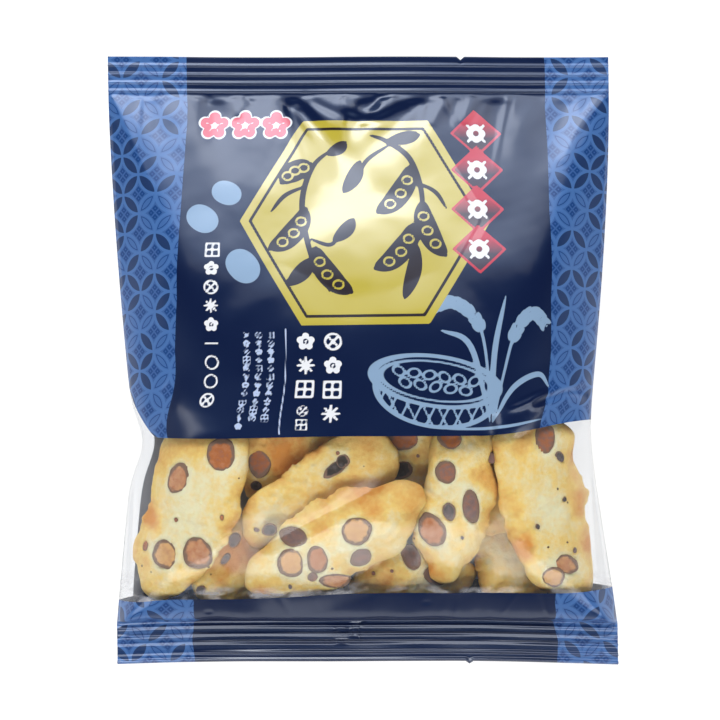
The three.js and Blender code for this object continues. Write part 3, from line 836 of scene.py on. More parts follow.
# Crackers that show in the window, from the film down: outline; then beans as x, y, width, height, turn in
# degrees and tone, from 0, pale, to 1, black; then browned places as x, y, radius and strength, below 0 where
# the dough stayed paler
WINDOW_CRACKERS = {
    "left": (
        [(-59.5, -23), (-46.5, -19), (-35, -22), (-33.6, -30), (-34.6, -37), (-36.4, -41), (-35.8, -45),
         (-38.5, -50.5), (-42, -56.5), (-46, -62), (-50.5, -66.5), (-57, -70.5), (-62, -72), (-66.3, -70),
         (-67.8, -64.5), (-70, -57), (-68, -51.5), (-64.6, -43), (-63, -34)],
        [(-41.6, -27.5, 9, 9.8, 0, 0.4), (-54.6, -34.8, 6.9, 9.3, -20, 0.2),
         (-58.8, -57.5, 8, 8.8, 0, 0.05), (-48.6, -56.7, 9.1, 9.9, 0, 0.22),
         (-65.2, -55.6, 1.8, 3.4, -10, 0.5), (-55.2, -47, 1.2, 1.5, 0, 0.55),
         (-41.2, -45.8, 1.3, 1.9, 0, 0.3)],
        [(-54, -25, 6, 0.4), (-63.8, -46.5, 3, 0.8), (-62.5, -49, 3, 0.5), (-38.5, -48, 3, 0.35),
         (-50, -43, 9, -0.25), (-58, -48, 6, -0.15), (-66, -60, 3, 0.25)],
    ),
    "middle": (
        [(-35.3, -65), (-33.7, -59.6), (-31.3, -56.9), (-27.8, -53.6), (-25.1, -49.7), (-19.7, -45.2),
         (-15.2, -41.6), (-9.9, -39.6), (-5.4, -37.2), (3.6, -36.9), (10.1, -35.1), (16.1, -36.3),
         (18.8, -40.7), (16.4, -46.1), (13.4, -52.1), (10.1, -57.5), (3.6, -60.1), (-3, -63.4),
         (-6.9, -67.3), (-15.8, -69.9), (-27.8, -71), (-33.6, -69)],
        [(-1.9, -49.6, 9, 8.4, 0, 0.02), (-0.7, -57.5, 6.6, 5.6, 25, 0.62), (-21.3, -59.3, 8, 8.8, 0, 0.03),
         (-13.4, -58.1, 6.2, 8.8, 0, 0.27), (-20.3, -51.5, 8.6, 6, -8, 0.65),
         (-27.5, -49.7, 4.6, 3.8, 0, 0.88), (-8.4, -64.6, 9.4, 4.8, 0, 0.17),
         (-14.8, -63.4, 3.4, 3, 35, 0.6), (-21.5, -66.7, 1.2, 1.6, 20, 0.75)],
        [(0, -40.5, 6, 0.7), (3.5, -44.5, 3, 0.6), (14.5, -42.5, 4, 0.6), (-12, -49, 4, 0.35),
         (-7, -59, 3, 0.35), (-30, -67, 3.5, 0.3), (6, -50, 6, -0.2), (-28, -62, 4, -0.1)],
    ),
    "right": (
        [(39.2, -21.5), (52.8, -17.5), (60.3, -18.6), (63.9, -22.2), (63.3, -26.7), (63.9, -31.2),
         (66.3, -35.7), (68.4, -40.1), (67.2, -46.1), (68.9, -53.6), (69.4, -59.6), (69.2, -67),
         (67, -70.4), (58.8, -70.8), (52.8, -67.9), (47.8, -62.5), (44.5, -55.1), (42, -50.6), (40, -41.6),
         (38.8, -30)],
        [(53.9, -23.1, 6.3, 9.5, 0, 0.5), (58.5, -28.5, 2.6, 3.8, 35, 0.85),
         (59.8, -41.2, 1.5, 1.5, 0, 0.9), (51.3, -48.8, 1.4, 1.8, 20, 0.85),
         (60.3, -60.4, 7.8, 5.6, -25, 0.17), (56.3, -63.9, 6.9, 6.3, -20, 0.02),
         (63, -56.4, 1.2, 2, 0, 0.7)],
        [(47.1, -55.1, 4, 1.05), (62, -28.2, 3, 0.7), (64.2, -42, 3, 0.75), (65.4, -46, 2.5, 0.5),
         (67.6, -55, 3, 0.75), (46, -25.2, 3.5, 0.4), (44.5, -42, 3, 0.3), (54, -47, 8, -0.12)],
    ),
    "beside": (
        [(22.5, -19.5), (34.5, -19), (38.8, -22.8), (37.9, -30.3), (39.7, -35.7), (40, -40.1),
         (37.9, -45.2), (36.7, -50.6), (34, -56.6), (29.8, -61.9), (27.5, -65.5), (23.3, -66.4),
         (20.3, -64.6), (18.8, -60.1), (16.5, -56.5), (14.5, -51), (15.5, -44.5), (18.5, -36), (19.5, -26)],
        [(24.2, -32.7, 6.3, 6.8, 0, 0.55), (25.2, -44.3, 4, 5.8, 10, 0.82), (31.6, -42.8, 5, 10.5, 8, 0.6),
         (20.3, -49.7, 8, 10.6, 25, 0.27), (25.4, -22.5, 7.2, 7.4, 0, 0.42), (38, -28.8, 2.4, 3.6, 0, 0.6),
         (29.1, -52, 1.1, 1.1, 0, 0.75)],
        [(34.5, -34, 3, 0.6), (37.5, -45, 3, 0.5), (22.5, -64, 3.5, 0.45), (28, -56, 4, 0.25)],
    ),
    "slanting": (
        [(-36, -50), (-34.5, -41.5), (-26, -35.5), (-17, -28), (-7, -21.5), (2.5, -19.5), (9.5, -25),
         (9, -36), (-5, -44), (-18, -51), (-27, -56), (-33.5, -55.5)],
        [(-8.2, -31.8, 8.2, 3.8, 38, 1), (-5.9, -29.4, 4.4, 4, 60, 1), (-7.4, -27, 1.3, 1.3, 0, 0.5),
         (-31.6, -50.2, 1.9, 1.4, -20, 0.6)],
        [(-20, -38, 5, 0.25), (-6, -36, 8, 0.3), (0, -24, 6, 0.3), (-30, -46, 6, -0.15)],
    ),
    "between": (
        [(30, -19), (41, -17), (50, -22), (51, -36), (48, -48), (39, -53), (31, -48), (28.5, -33)],
        [],
        [(39, -44, 5, 0.4)],
    ),
    "low_middle": (
        [(-3.6, -70), (-2.5, -64), (3.5, -57), (14, -54.5), (24.5, -58.5), (33, -61), (33.5, -67),
         (28, -71), (14, -72.5), (2, -72.5)],
        [(14.3, -58.6, 5.4, 8.6, 25, 0.65), (22.4, -64, 9, 6.8, 0, 0.65), (3.1, -63.5, 1.2, 1.2, 0, 0.6),
         (8.6, -62.7, 1.1, 1.1, 0, 0.6)],
        [(6, -62, 5, 0.4), (10, -68, 5, 0.45)],
    ),
    "low_right": (
        [(33.5, -47), (42.5, -43), (50, -48.5), (55.5, -59.5), (56, -70), (44, -72.8), (36.3, -71.5),
         (33.5, -57)],
        [],
        [(42, -66, 4, 0.3), (46, -50, 6, 0.1)],
    ),
    "low_left": (
        [(-51, -68), (-47, -58), (-41, -50), (-33, -46), (-25, -52), (-27, -64), (-33, -72.5), (-45, -74)],
        [(-38.6, -53.8, 3.6, 4.8, -25, 0.72), (-41.1, -59.3, 2.2, 4.2, -35, 0.75),
         (-48.4, -68.4, 3.2, 2.6, 30, 0.8)],
        [(-38, -57, 7, 1.1), (-42, -66, 5, 0.3)],
    ),
    "upper": (
        [(-8, -23.5), (5, -17), (20, -18), (25.5, -26.5), (22.5, -38), (11, -44), (-1, -44), (-8.5, -34)],
        [(-0.6, -35, 9, 7.8, 0, 0.42), (11.6, -33, 7.4, 5.4, 28, 1), (11.9, -23.2, 9.8, 7.6, 0, 0.42),
         (16.4, -28.5, 1.1, 1.1, 0, 0.6)],
        [(3, -28, 9, 0.35), (18, -24, 6, 0.25), (0.5, -31.5, 3.5, 0.6)],
    ),
    "upper_left": (
        [(-36.5, -23.5), (-20, -17), (-8, -20.5), (-13, -31), (-25, -41.5), (-33.5, -43), (-37, -32.5)],
        # Its second bean, near black, is painted shade: a dark bean put where there is only the shade of a
        # gap between the crackers
        [(-30.8, -30.6, 7, 8.8, 0, 0.45), (-32, -37.5, 3.8, 3.4, 0, 0.95)],
        [(-24, -28, 12, 0.9)],
    ),
}
# Crackers behind the print: centre, half length, half width and turn in degrees
HIDDEN_CRACKERS = [
    (-50, 12, 23, 12, 88),
    (-22, 11, 23, 13, 95),
    (8, 12, 23, 13, 84),
    (36, 11, 23, 13, 98),
    (-28, 47, 23, 12.5, 4),
    (22, 47, 23, 12.5, 176),
    (-38, 14, 23, 13, 100),
    (-8, 12, 23, 13, 80),
    (24, 13, 23, 13, 92),
    (-5, 22, 24, 13, 170),
]
CRACKER_THICKNESS = 8.5
CLEARANCE = 0.35  # between a cracker and what lies over it
UPPERMOST = 4  # crackers that lie against the film, and how far they follow its form
FILM_BEND = 0.5
BODY_SHARE = 0.98  # how much of a slab keeps clear of its neighbours: all but its thin rim
RIM_SHARE = 0.9999  # farther out than this, as a share of the way, a point lies on the rim
EDGE_WAVES = (9, 14, 21, 29, 40)  # numbers of small waves round a cracker's outline
EDGE_WAVE_HEIGHT = 0.26
WHOLE_BEAN = 4  # a bean wider than this is more than a crumb
BEAN_SINK = 0.7  # how far the dough dips under a bean
BEAN_PROUD = 0.18  # how far a bean's cut face stands out of the dough
BEAN_ROOT = 1.1  # how deep its rim goes into the dough
BEAN_BELLY = 0.8  # how far its underside bulges below that
UNDER_FILM = 0.1  # least distance from a bean to the film over it
BEAN_WAVES = ((2, 0.03), (3, 0.035), (4, 0.02), (7, 0.012), (11, 0.008))  # number round its outline, and size
SKIN_LEAN = 0.1  # how much wider the ring of skin shows on one side of a bean


def disc_grid(count):
    """A disc's points as radius and angle, on a square grid whose rings become circles."""
    across, along = np.meshgrid(np.linspace(-1, 1, count + 1), np.linspace(-1, 1, count + 1))
    radius = np.maximum(np.abs(across), np.abs(along))
    wide = np.abs(across) >= np.abs(along)
    longer = np.where(wide, across, along)
    shorter = np.where(wide, along, across)
    slant = np.divide(shorter, longer, where=radius > 0, out=np.zeros(radius.shape)) * math.pi / 4
    angle = np.where(wide, slant, math.pi / 2 - slant) + np.where(longer < 0, math.pi, 0)
    return radius, angle


class Cracker:
    """A puffed slab of baked rice dough, with an uneven outline, rounded edges and a rough, warped face."""

    def __init__(self, outline, seed, bend=0.0):
        edge = smooth_line(np.array(outline, float), 16, closed=True)
        self.centre = edge.mean(axis=0)
        arm = edge - self.centre
        angle = np.arctan2(arm[:, 1], arm[:, 0])
        order = np.argsort(angle)
        self.angles = angle[order]
        self.radii = np.hypot(arm[:, 0], arm[:, 1])[order]
        self.seed = seed
        self.bend = bend
        self.plane = np.zeros(3)
        self.over = lambda x, y: np.zeros(np.shape(x))

    def radius(self, angle):
        """Distance from the centre to the edge: the outline's, with small waves all round."""
        draw = np.random.default_rng(self.seed)
        wave = np.zeros(np.shape(angle))
        for count in EDGE_WAVES:
            high = draw.uniform(0.4, 1) * (12 / count) ** 0.8
            wave += high * np.cos(count * angle + draw.uniform(0, 2 * math.pi))
        return np.interp(angle, self.angles, self.radii, period=2 * math.pi) + EDGE_WAVE_HEIGHT * wave

    def share(self, x, y):
        """How far out (x, y) is, from 0 at the centre to 1 at the edge."""
        dx = x - self.centre[0]
        dy = y - self.centre[1]
        return np.hypot(dx, dy) / self.radius(np.arctan2(dy, dx))

    def middle(self, x, y):
        """Height of the middle of the slab: a tilted plane, bent in part to the film over it, and warped."""
        flat = self.plane[0] + self.plane[1] * (x - self.centre[0]) + self.plane[2] * (y - self.centre[1])
        return flat + self.bend * self.over(x, y) + 0.5 * ripples(x, y, 34, self.seed + 1)

    def half_thickness(self, x, y):
        """Half the thickness: full over most of the slab, and rounded off towards the edge."""
        share = np.clip(self.share(x, y), 0, 1)
        slab = CRACKER_THICKNESS / 2 * (1 + 0.1 * ripples(x, y, 26, self.seed + 2))
        return slab * (1 - share**3.2) ** 0.55

    def relief(self, x, y, seed):
        """Puffed relief: soft lobes with creases between them, and finer bumps, fading out at the edge."""
        lobes = 0.45 - 0.9 * np.abs(ripples(x, y, 17, seed))
        bumps = 0.5 * ripples(x, y, 6, seed + 1) + 0.45 * ripples(x, y, 2.8, seed + 2)
        share = np.clip(self.share(x, y), 0, 1)
        return (0.75 * lobes + 0.45 * bumps) * (1 - share**12)

    def top(self, x, y):
        return self.middle(x, y) + self.half_thickness(x, y) + self.relief(x, y, self.seed + 3)

    def bottom(self, x, y):
        return self.middle(x, y) - self.half_thickness(x, y) + self.relief(x, y, self.seed + 6)

    def settle_under(self, x, y, ceiling):
        """Tilts the slab to lie along the underside of what is over it, and lowers it clear of that."""
        inside = self.share(x, y) < BODY_SHARE
        px, py, top = x[inside], y[inside], ceiling[inside]
        sides = np.stack([np.ones(len(px)), px - self.centre[0], py - self.centre[1]], axis=1)
        self.plane = np.linalg.lstsq(sides, top - self.bend * self.over(px, py), rcond=None)[0]
        self.plane[0] += np.min(top - CLEARANCE - self.top(px, py))
        return np.where(inside, np.minimum(ceiling, self.bottom(x, y)), ceiling)


def settle_crackers():
    """Places the crackers one after the other under the front film and the crackers already there."""
    x, y = np.meshgrid(np.arange(-76, 76.5, 1.0), np.arange(-84, 84.5, 1.0))
    ceiling = height_at(x, y)
    crackers = {}
    for number, (name, (outline, _, _)) in enumerate(WINDOW_CRACKERS.items()):
        cracker = Cracker(outline, 100 + 20 * number, FILM_BEND if number < UPPERMOST else 0.0)
        cracker.over = lambda px, py: height_at(px, py, False)
        ceiling = cracker.settle_under(x, y, ceiling)
        crackers[name] = cracker
    hidden = []
    for number, (centre_x, centre_y, long, wide, turn) in enumerate(HIDDEN_CRACKERS):
        angle = np.linspace(0, 2 * math.pi, 10, endpoint=False)
        oval = from_feature(long * np.cos(angle), wide * np.sin(angle), centre_x, centre_y, turn)
        cracker = Cracker(np.stack(oval, axis=1), 500 + 20 * number)
        ceiling = cracker.settle_under(x, y, ceiling)
        hidden.append(cracker)
    return crackers, hidden


def cracker_surface(cracker, beans, spots, cells):
    """Points, faces and browning of a cracker: a disc grid drawn out to its outline, as a top and a bottom
    sheet that share their rim. The dough dips under each bean and swells a little round it."""
    share, angle = disc_grid(cells)
    share = 1.2 * share - 0.2 * share**3
    reach = share * cracker.radius(angle)
    x = cracker.centre[0] + reach * np.cos(angle)
    y = cracker.centre[1] + reach * np.sin(angle)
    rim = share > RIM_SHARE
    middle = cracker.middle(x, y)
    top = np.where(rim, middle, cracker.top(x, y))
    bottom = np.where(rim, middle, cracker.bottom(x, y))
    toast = 0.29 + 0.14 * ripples(x, y, 17, cracker.seed + 9) + 0.08 * ripples(x, y, 5, cracker.seed + 10)
    for bean_x, bean_y, wide, tall, turn, _ in beans:
        along, across = in_feature(x, y, bean_x, bean_y, turn)
        out = np.hypot(along / (wide / 2), across / (tall / 2))
        top = top - np.where(rim, 0, BEAN_SINK * (1 - smooth(0.86, 1, out)) - 0.12 * bell(out - 1.2, 0.15))
        toast = toast - (0.2 if wide > WHOLE_BEAN else 0) * bell(out - 1, 0.25)
    toast = toast + 0.4 * smooth(0.6, 1, share) * (0.6 + 0.5 * ripples(x, y, 12, cracker.seed + 11))
    for spot_x, spot_y, radius, strength in spots:
        uneven = 1 + 0.25 * ripples(x, y, 6, cracker.seed + 12)
        toast = toast + 0.75 * strength * bell(np.hypot(x - spot_x, y - spot_y) * uneven, radius)
    return *two_sheets(x, y, top, bottom), np.tile(toast.ravel(), 2)


def bean_surface(cracker, x, y, wide, tall, turn, tone, seed):
    """Points, faces, tone and place across of a cut bean: a flat face just proud of the dough, whose rounded
    rim of skin goes down into it, over a shallow bowl."""
    cells = 22 if wide > WHOLE_BEAN else 10
    draw = np.random.default_rng(seed)
    share, angle = disc_grid(cells)
    share = 1.3 * share - 0.3 * share**3
    uneven = 1 + sum(size * np.cos(count * angle + draw.uniform(0, 6)) for count, size in BEAN_WAVES)
    along = share * uneven * np.cos(angle) * wide / 2
    over = share * uneven * np.sin(angle) * tall / 2
    px, py = from_feature(along, over, x, y, turn)
    inside = np.minimum(1, 0.93 / np.maximum(cracker.share(px, py), 1e-6))
    centre_x, centre_y = cracker.centre
    ground = cracker.top(centre_x + (px - centre_x) * inside, centre_y + (py - centre_y) * inside)
    ground = ground.mean() + 0.6 * (ground - ground.mean())
    skin = 0.08 * bell(share - 0.88, 0.08)
    dip = 0.1 * ripples(px, py, 3.5, seed) * (share < 0.95)
    top = ground + BEAN_PROUD + skin + dip - (BEAN_PROUD + BEAN_ROOT) * smooth(0.95, 1, share) ** 2
    top = np.minimum(top, height_at(px, py) - UNDER_FILM)
    root = ground - BEAN_ROOT
    rim = share > RIM_SHARE
    top = np.where(rim, root, top)
    bottom = np.where(rim, root, root - BEAN_BELLY * (1 - share**2))
    across = share + SKIN_LEAN * share * np.cos(angle - draw.uniform(0, 2 * math.pi))
    across = np.concatenate([across.ravel(), np.ones(share.size)])
    return *two_sheets(px, py, top, bottom), np.full(2 * share.size, tone), across


def join_parts(parts):
    """Joins parts, each a tuple of points, faces and arrays of values, into one tuple."""
    offset = 0
    faces = []
    for part in parts:
        faces.append(part[1] + offset)
        offset += len(part[0])
    points = np.concatenate([part[0] for part in parts])
    values = [np.concatenate([part[place] for part in parts]) for place in range(2, len(parts[0]))]
    return points, np.concatenate(faces), *values


# ------------------------------------------------------------------ materials


def hex_colour(code):
    """Linear colour of an sRGB hex code, with full alpha."""
    channels = [int(code[place : place + 2], 16) / 255 for place in (1, 3, 5)]
    linear = [c / 12.92 if c <= 0.04045 else ((c + 0.055) / 1.055) ** 2.4 for c in channels]
    return (*linear, 1.0)


def add(tree, kind, inputs=None, **settings):
    """Adds a node of a kind, with its settings and its inputs: by name or number, a value or an output."""
    node = tree.nodes.new("ShaderNode" + kind)
    for name, value in settings.items():
        setattr(node, name, value)
    for key, value in (inputs or {}).items():
        if isinstance(value, bpy.types.NodeSocket):
            tree.links.new(value, node.inputs[key])
        else:
            node.inputs[key].default_value = value
    return node


def new_material(name):
    """An empty material and its output node."""
    material = bpy.data.materials.new(name)
    material.use_nodes = True
    material.node_tree.nodes.clear()
    return material, material.node_tree, add(material.node_tree, "OutputMaterial")


TREASURE_REPEAT = 11.8  # from one knot of the side bands' pattern to the next, in millimetres
# Sizes in the pattern, as shares of its repeat
RIM_RADIUS = 0.503
RIM_HALF_WIDTH = 0.036
LEAF_RADIUS = 0.5
OUTLINE_RADIUS = 0.425
OUTLINE_HALF_WIDTH = 0.012
DIAMOND_AT = 0.115
DIAMOND_SIZE = 0.055
DIAMOND_HALF_WIDTH = 0.031
DARK_LEAVES = 0.56  # share of the leaves, apart from those that the band's inner edge cuts


def seven_treasures(tree, place, colours):
    """Colour of the side bands: circles whose rims cross at knots, so that each is cut into four leaves round
    a star. Some leaves are dark, the others have an inner outline, and each star holds four small open
    diamonds. Within a repeat, the distances to the nearest centres of both sets of circles tell leaf, rim and
    star apart."""
    scale = (1 / TREASURE_REPEAT, 1 / TREASURE_REPEAT, 0)
    repeat = add(tree, "VectorMath", {0: place, 1: scale}, operation="MULTIPLY").outputs[0]
    repeat = add(tree, "VectorMath", {0: repeat, 1: (0.5, 0, 0)}).outputs[0]
    cell = add(tree, "VectorMath", {0: repeat}, operation="FRACTION").outputs[0]
    cell = add(tree, "VectorMath", {0: cell, 1: (0.5, 0.5, 0)}, operation="SUBTRACT").outputs[0]
    cell = add(tree, "VectorMath", {0: cell}, operation="ABSOLUTE").outputs[0]
    other = add(tree, "VectorMath", {0: (0.5, 0.5, 0), 1: cell}, operation="SUBTRACT").outputs[0]
    near = add(tree, "VectorMath", {0: cell}, operation="LENGTH").outputs["Value"]
    far = add(tree, "VectorMath", {0: other}, operation="LENGTH").outputs["Value"]
    widest = add(tree, "Math", {0: near, 1: far}, operation="MAXIMUM").outputs[0]
    leaf = add(tree, "Math", {0: widest, 1: LEAF_RADIUS}, operation="LESS_THAN").outputs[0]
    rim = add(tree, "Math", {0: widest, 1: RIM_RADIUS, 2: RIM_HALF_WIDTH}, operation="COMPARE").outputs[0]

    half = add(tree, "VectorMath", {0: repeat, 1: (2, 2, 0)}, operation="MULTIPLY").outputs[0]
    number = add(tree, "VectorMath", {0: half}, operation="FLOOR").outputs[0]
    chance = add(tree, "TexWhiteNoise", {"Vector": number}, noise_dimensions="3D").outputs["Value"]
    some = add(tree, "Math", {0: chance, 1: DARK_LEAVES}, operation="LESS_THAN").outputs[0]
    column = add(tree, "SeparateXYZ", {0: number}).outputs[0]
    whole = add(tree, "Math", {0: column, 1: 0.5}, operation="GREATER_THAN").outputs[0]
    dark = add(tree, "Math", {0: some, 1: whole}, operation="MULTIPLY").outputs[0]
    outline = {0: widest, 1: OUTLINE_RADIUS, 2: OUTLINE_HALF_WIDTH}
    outline = add(tree, "Math", outline, operation="COMPARE").outputs[0]
    pale = {0: outline, 6: colours["band_leaf"], 7: colours["band_mark"]}
    pale = add(tree, "Mix", pale, data_type="RGBA").outputs[2]
    leaves = add(tree, "Mix", {0: dark, 6: pale, 7: colours["band_dark"]}, data_type="RGBA").outputs[2]

    closer = add(tree, "Math", {0: near, 1: far}, operation="LESS_THAN").outputs[0]
    star = add(tree, "Mix", {0: closer, 4: other, 5: cell}, data_type="VECTOR").outputs[1]
    parts = add(tree, "SeparateXYZ", {0: star}).outputs
    long = add(tree, "Math", {0: parts[0], 1: parts[1]}, operation="MAXIMUM").outputs[0]
    short = add(tree, "Math", {0: parts[0], 1: parts[1]}, operation="MINIMUM").outputs[0]
    long = add(tree, "Math", {0: long, 1: DIAMOND_AT}, operation="SUBTRACT").outputs[0]
    long = add(tree, "Math", {0: long}, operation="ABSOLUTE").outputs[0]
    diamond = add(tree, "Math", {0: long, 1: short}).outputs[0]
    diamond = {0: diamond, 1: DIAMOND_SIZE, 2: DIAMOND_HALF_WIDTH}
    diamond = add(tree, "Math", diamond, operation="COMPARE").outputs[0]
    stars = {0: diamond, 6: colours["band_ground"], 7: colours["band_mark"]}
    stars = add(tree, "Mix", stars, data_type="RGBA").outputs[2]
    inside = add(tree, "Mix", {0: leaf, 6: stars, 7: leaves}, data_type="RGBA").outputs[2]
    return add(tree, "Mix", {0: rim, 6: inside, 7: colours["band_line"]}, data_type="RGBA").outputs[2]


INK_EDGE = 0.06  # how far to both sides of its edge an ink fades, in millimetres
PLAIN_COAT = 0.17  # strength of the film's gloss over most inks
GOLD_COAT = 0.44  # the same over the gold, whose flakes throw back more
SEAL_COAT = 0.32  # the same on the bottom seal, which hot jaws pressed smooth
PRESSED_FROM = BODY_BOTTOM + 0.55  # where that starts and is full, along the pack
PRESSED_FULL = BODY_BOTTOM - 0.45


def printed_film_material(name, colours, inks):
    """Gravure ink inside a laminate of oriented polypropylene: even colours with crisp edges, broad soft
    light from the ink, and the film's own gloss over it, stronger over the gold's metal flakes. Each ink is
    an attribute that holds the distance to its edge."""
    material, tree, output = new_material(name)
    place = add(tree, "Attribute", attribute_name="band").outputs["Vector"]
    outwards = add(tree, "SeparateXYZ", {0: place}).outputs[2]
    in_band = add(tree, "Math", {0: outwards, 1: 0}, operation="GREATER_THAN").outputs[0]
    band = seven_treasures(tree, place, colours)
    colour = add(tree, "Mix", {0: in_band, 6: colours["navy"], 7: band}, data_type="RGBA").outputs[2]
    gold = None
    for ink, tint in inks:
        distance = add(tree, "Attribute", attribute_name=ink).outputs["Fac"]
        shown = {"Value": distance, "From Min": INK_EDGE, "From Max": -INK_EDGE}
        shown = add(tree, "MapRange", shown).outputs["Result"]
        if ink == "gold":
            gold = shown
        if ink == "dark":
            bare = add(tree, "Math", {0: 1.0, 1: shown}, operation="SUBTRACT").outputs[0]
            gold = add(tree, "Math", {0: gold, 1: bare}, operation="MULTIPLY").outputs[0]
        if ink == "red":
            fade = add(tree, "Attribute", attribute_name="fade").outputs["Fac"]
            fade = add(tree, "MapRange", {"Value": fade, "From Min": 0.25, "From Max": 0.6}).outputs["Result"]
            tint = add(tree, "Mix", {0: fade, 6: tint, 7: colours["ash"]}, data_type="RGBA").outputs[2]
        colour = add(tree, "Mix", {0: shown, 6: colour, 7: tint}, data_type="RGBA").outputs[2]
    looks = {
        "Base Color": colour,
        "Roughness": 0.36,
        "IOR": 1.5,
        "Specular Tint": (0.25, 0.5, 1.0, 1),
        "Coat Roughness": 0.17,
        "Coat IOR": 2.6,
    }
    coordinates = add(tree, "TexCoord").outputs["Object"]
    along = add(tree, "SeparateXYZ", {0: coordinates}).outputs[1]
    coat = {
        "Value": along,
        "From Min": PRESSED_FROM * MM,
        "From Max": PRESSED_FULL * MM,
        "To Min": PLAIN_COAT,
        "To Max": SEAL_COAT,
    }
    coat = add(tree, "MapRange", coat).outputs["Result"]
    if gold is not None:
        coat = {"Value": gold, "To Min": coat, "To Max": GOLD_COAT}
        coat = add(tree, "MapRange", coat).outputs["Result"]
    looks["Coat Weight"] = coat
    shader = add(tree, "BsdfPrincipled", looks)
    tree.links.new(shader.outputs[0], output.inputs[0])
    return material


MIRROR_FACING = 0.055  # share of the light that both faces of clear film mirror, seen square on
# Sizes of the patterns in all materials, in millimetres
FILM_WAVE = 7.143  # soft waves of the clear film
PALE_PATCH = (7.692, 4.167)  # size of a pale milky patch in the film, across and along the pack
PALE_FROM = WINDOW_BOTTOM + 4.6  # where the pale patches start and are thickest, along the pack
PALE_FULL = WINDOW_BOTTOM - 0.4
BLOTCH = 1.4286  # browner and paler places in the dough
SPECK_CELL = 3.0303  # a speck of bean skin lies at most once in each such cell of the dough
SPECK_SIZE = 0.13  # radius of a speck, as a share of its cell
SPECK_CHANCE = 0.06  # share of the cells that hold one
PORE = 1.1111  # the coarsest pores of the dough
BEAN_GRAIN = 1.6667  # grain of a cut bean


def clear_film_material():
    """Clear oriented polypropylene: seen through almost unchanged, with a mirror of the lights that grows
    towards its edges. It turns patchily pale and milky along the lower edge of the window."""
    material, tree, output = new_material("clear polypropylene film")
    coordinates = add(tree, "TexCoord").outputs["Object"]
    waves = {"Vector": coordinates, "Scale": 1 / (FILM_WAVE * MM), "Detail": 3.0}
    waves = add(tree, "TexNoise", waves).outputs["Fac"]
    bump = add(tree, "Bump", {"Height": waves, "Strength": 0.12, "Distance": 1 * MM}).outputs["Normal"]
    clear = add(tree, "BsdfTransparent", {"Color": (0.945, 0.95, 0.955, 1)}).outputs[0]
    milk = add(tree, "BsdfDiffuse", {"Color": (0.9, 0.9, 0.96, 1)}).outputs[0]
    along = add(tree, "SeparateXYZ", {0: coordinates}).outputs[1]
    low = {"Value": along, "From Min": PALE_FROM * MM, "From Max": PALE_FULL * MM}
    low = add(tree, "MapRange", low).outputs["Result"]
    scale = (1 / (PALE_PATCH[0] * MM), 1 / (PALE_PATCH[1] * MM), 0)
    patches = add(tree, "Mapping", {"Vector": coordinates, "Scale": scale}).outputs[0]
    patches = add(tree, "TexNoise", {"Vector": patches, "Scale": 1.0, "Detail": 3.0}).outputs["Fac"]
    patches = {"Value": patches, "From Min": 0.48, "From Max": 0.62, "To Min": 0.0, "To Max": 0.3}
    patches = add(tree, "MapRange", patches).outputs["Result"]
    pale_patches = add(tree, "Math", {0: low, 1: patches}, operation="MULTIPLY").outputs[0]
    pale_patches = add(tree, "Math", {0: pale_patches, 1: 0.01}).outputs[0]
    body = add(tree, "MixShader", {0: pale_patches, 1: clear, 2: milk}).outputs[0]
    gloss = add(tree, "BsdfGlossy", {"Color": (1, 1, 1, 1), "Roughness": 0.2, "Normal": bump}).outputs[0]
    grazing = add(tree, "LayerWeight", {"Blend": 0.5}).outputs["Facing"]
    grazing = add(tree, "Math", {0: grazing, 1: 3.0}, operation="POWER").outputs[0]
    mirror = {"Value": grazing, "To Min": MIRROR_FACING, "To Max": 1.0}
    mirror = add(tree, "MapRange", mirror).outputs["Result"]
    shader = add(tree, "MixShader", {0: mirror, 1: body, 2: gloss}).outputs[0]
    tree.links.new(shader, output.inputs[0])
    return material


def painted_haze_liner_material():
    """Pale blue-grey liner inside the back film. Its colour is a painted reflection: it stands in for the
    soft haze of light that the film reflects over the dark print, and it lightens the shade in the gaps
    between the crackers.
    """
    material, tree, output = new_material("milky inner film layer")
    shader = add(tree, "BsdfPrincipled", {"Base Color": hex_colour("#B2BACC"), "Roughness": 0.4})
    tree.links.new(shader.outputs[0], output.inputs[0])
    return material


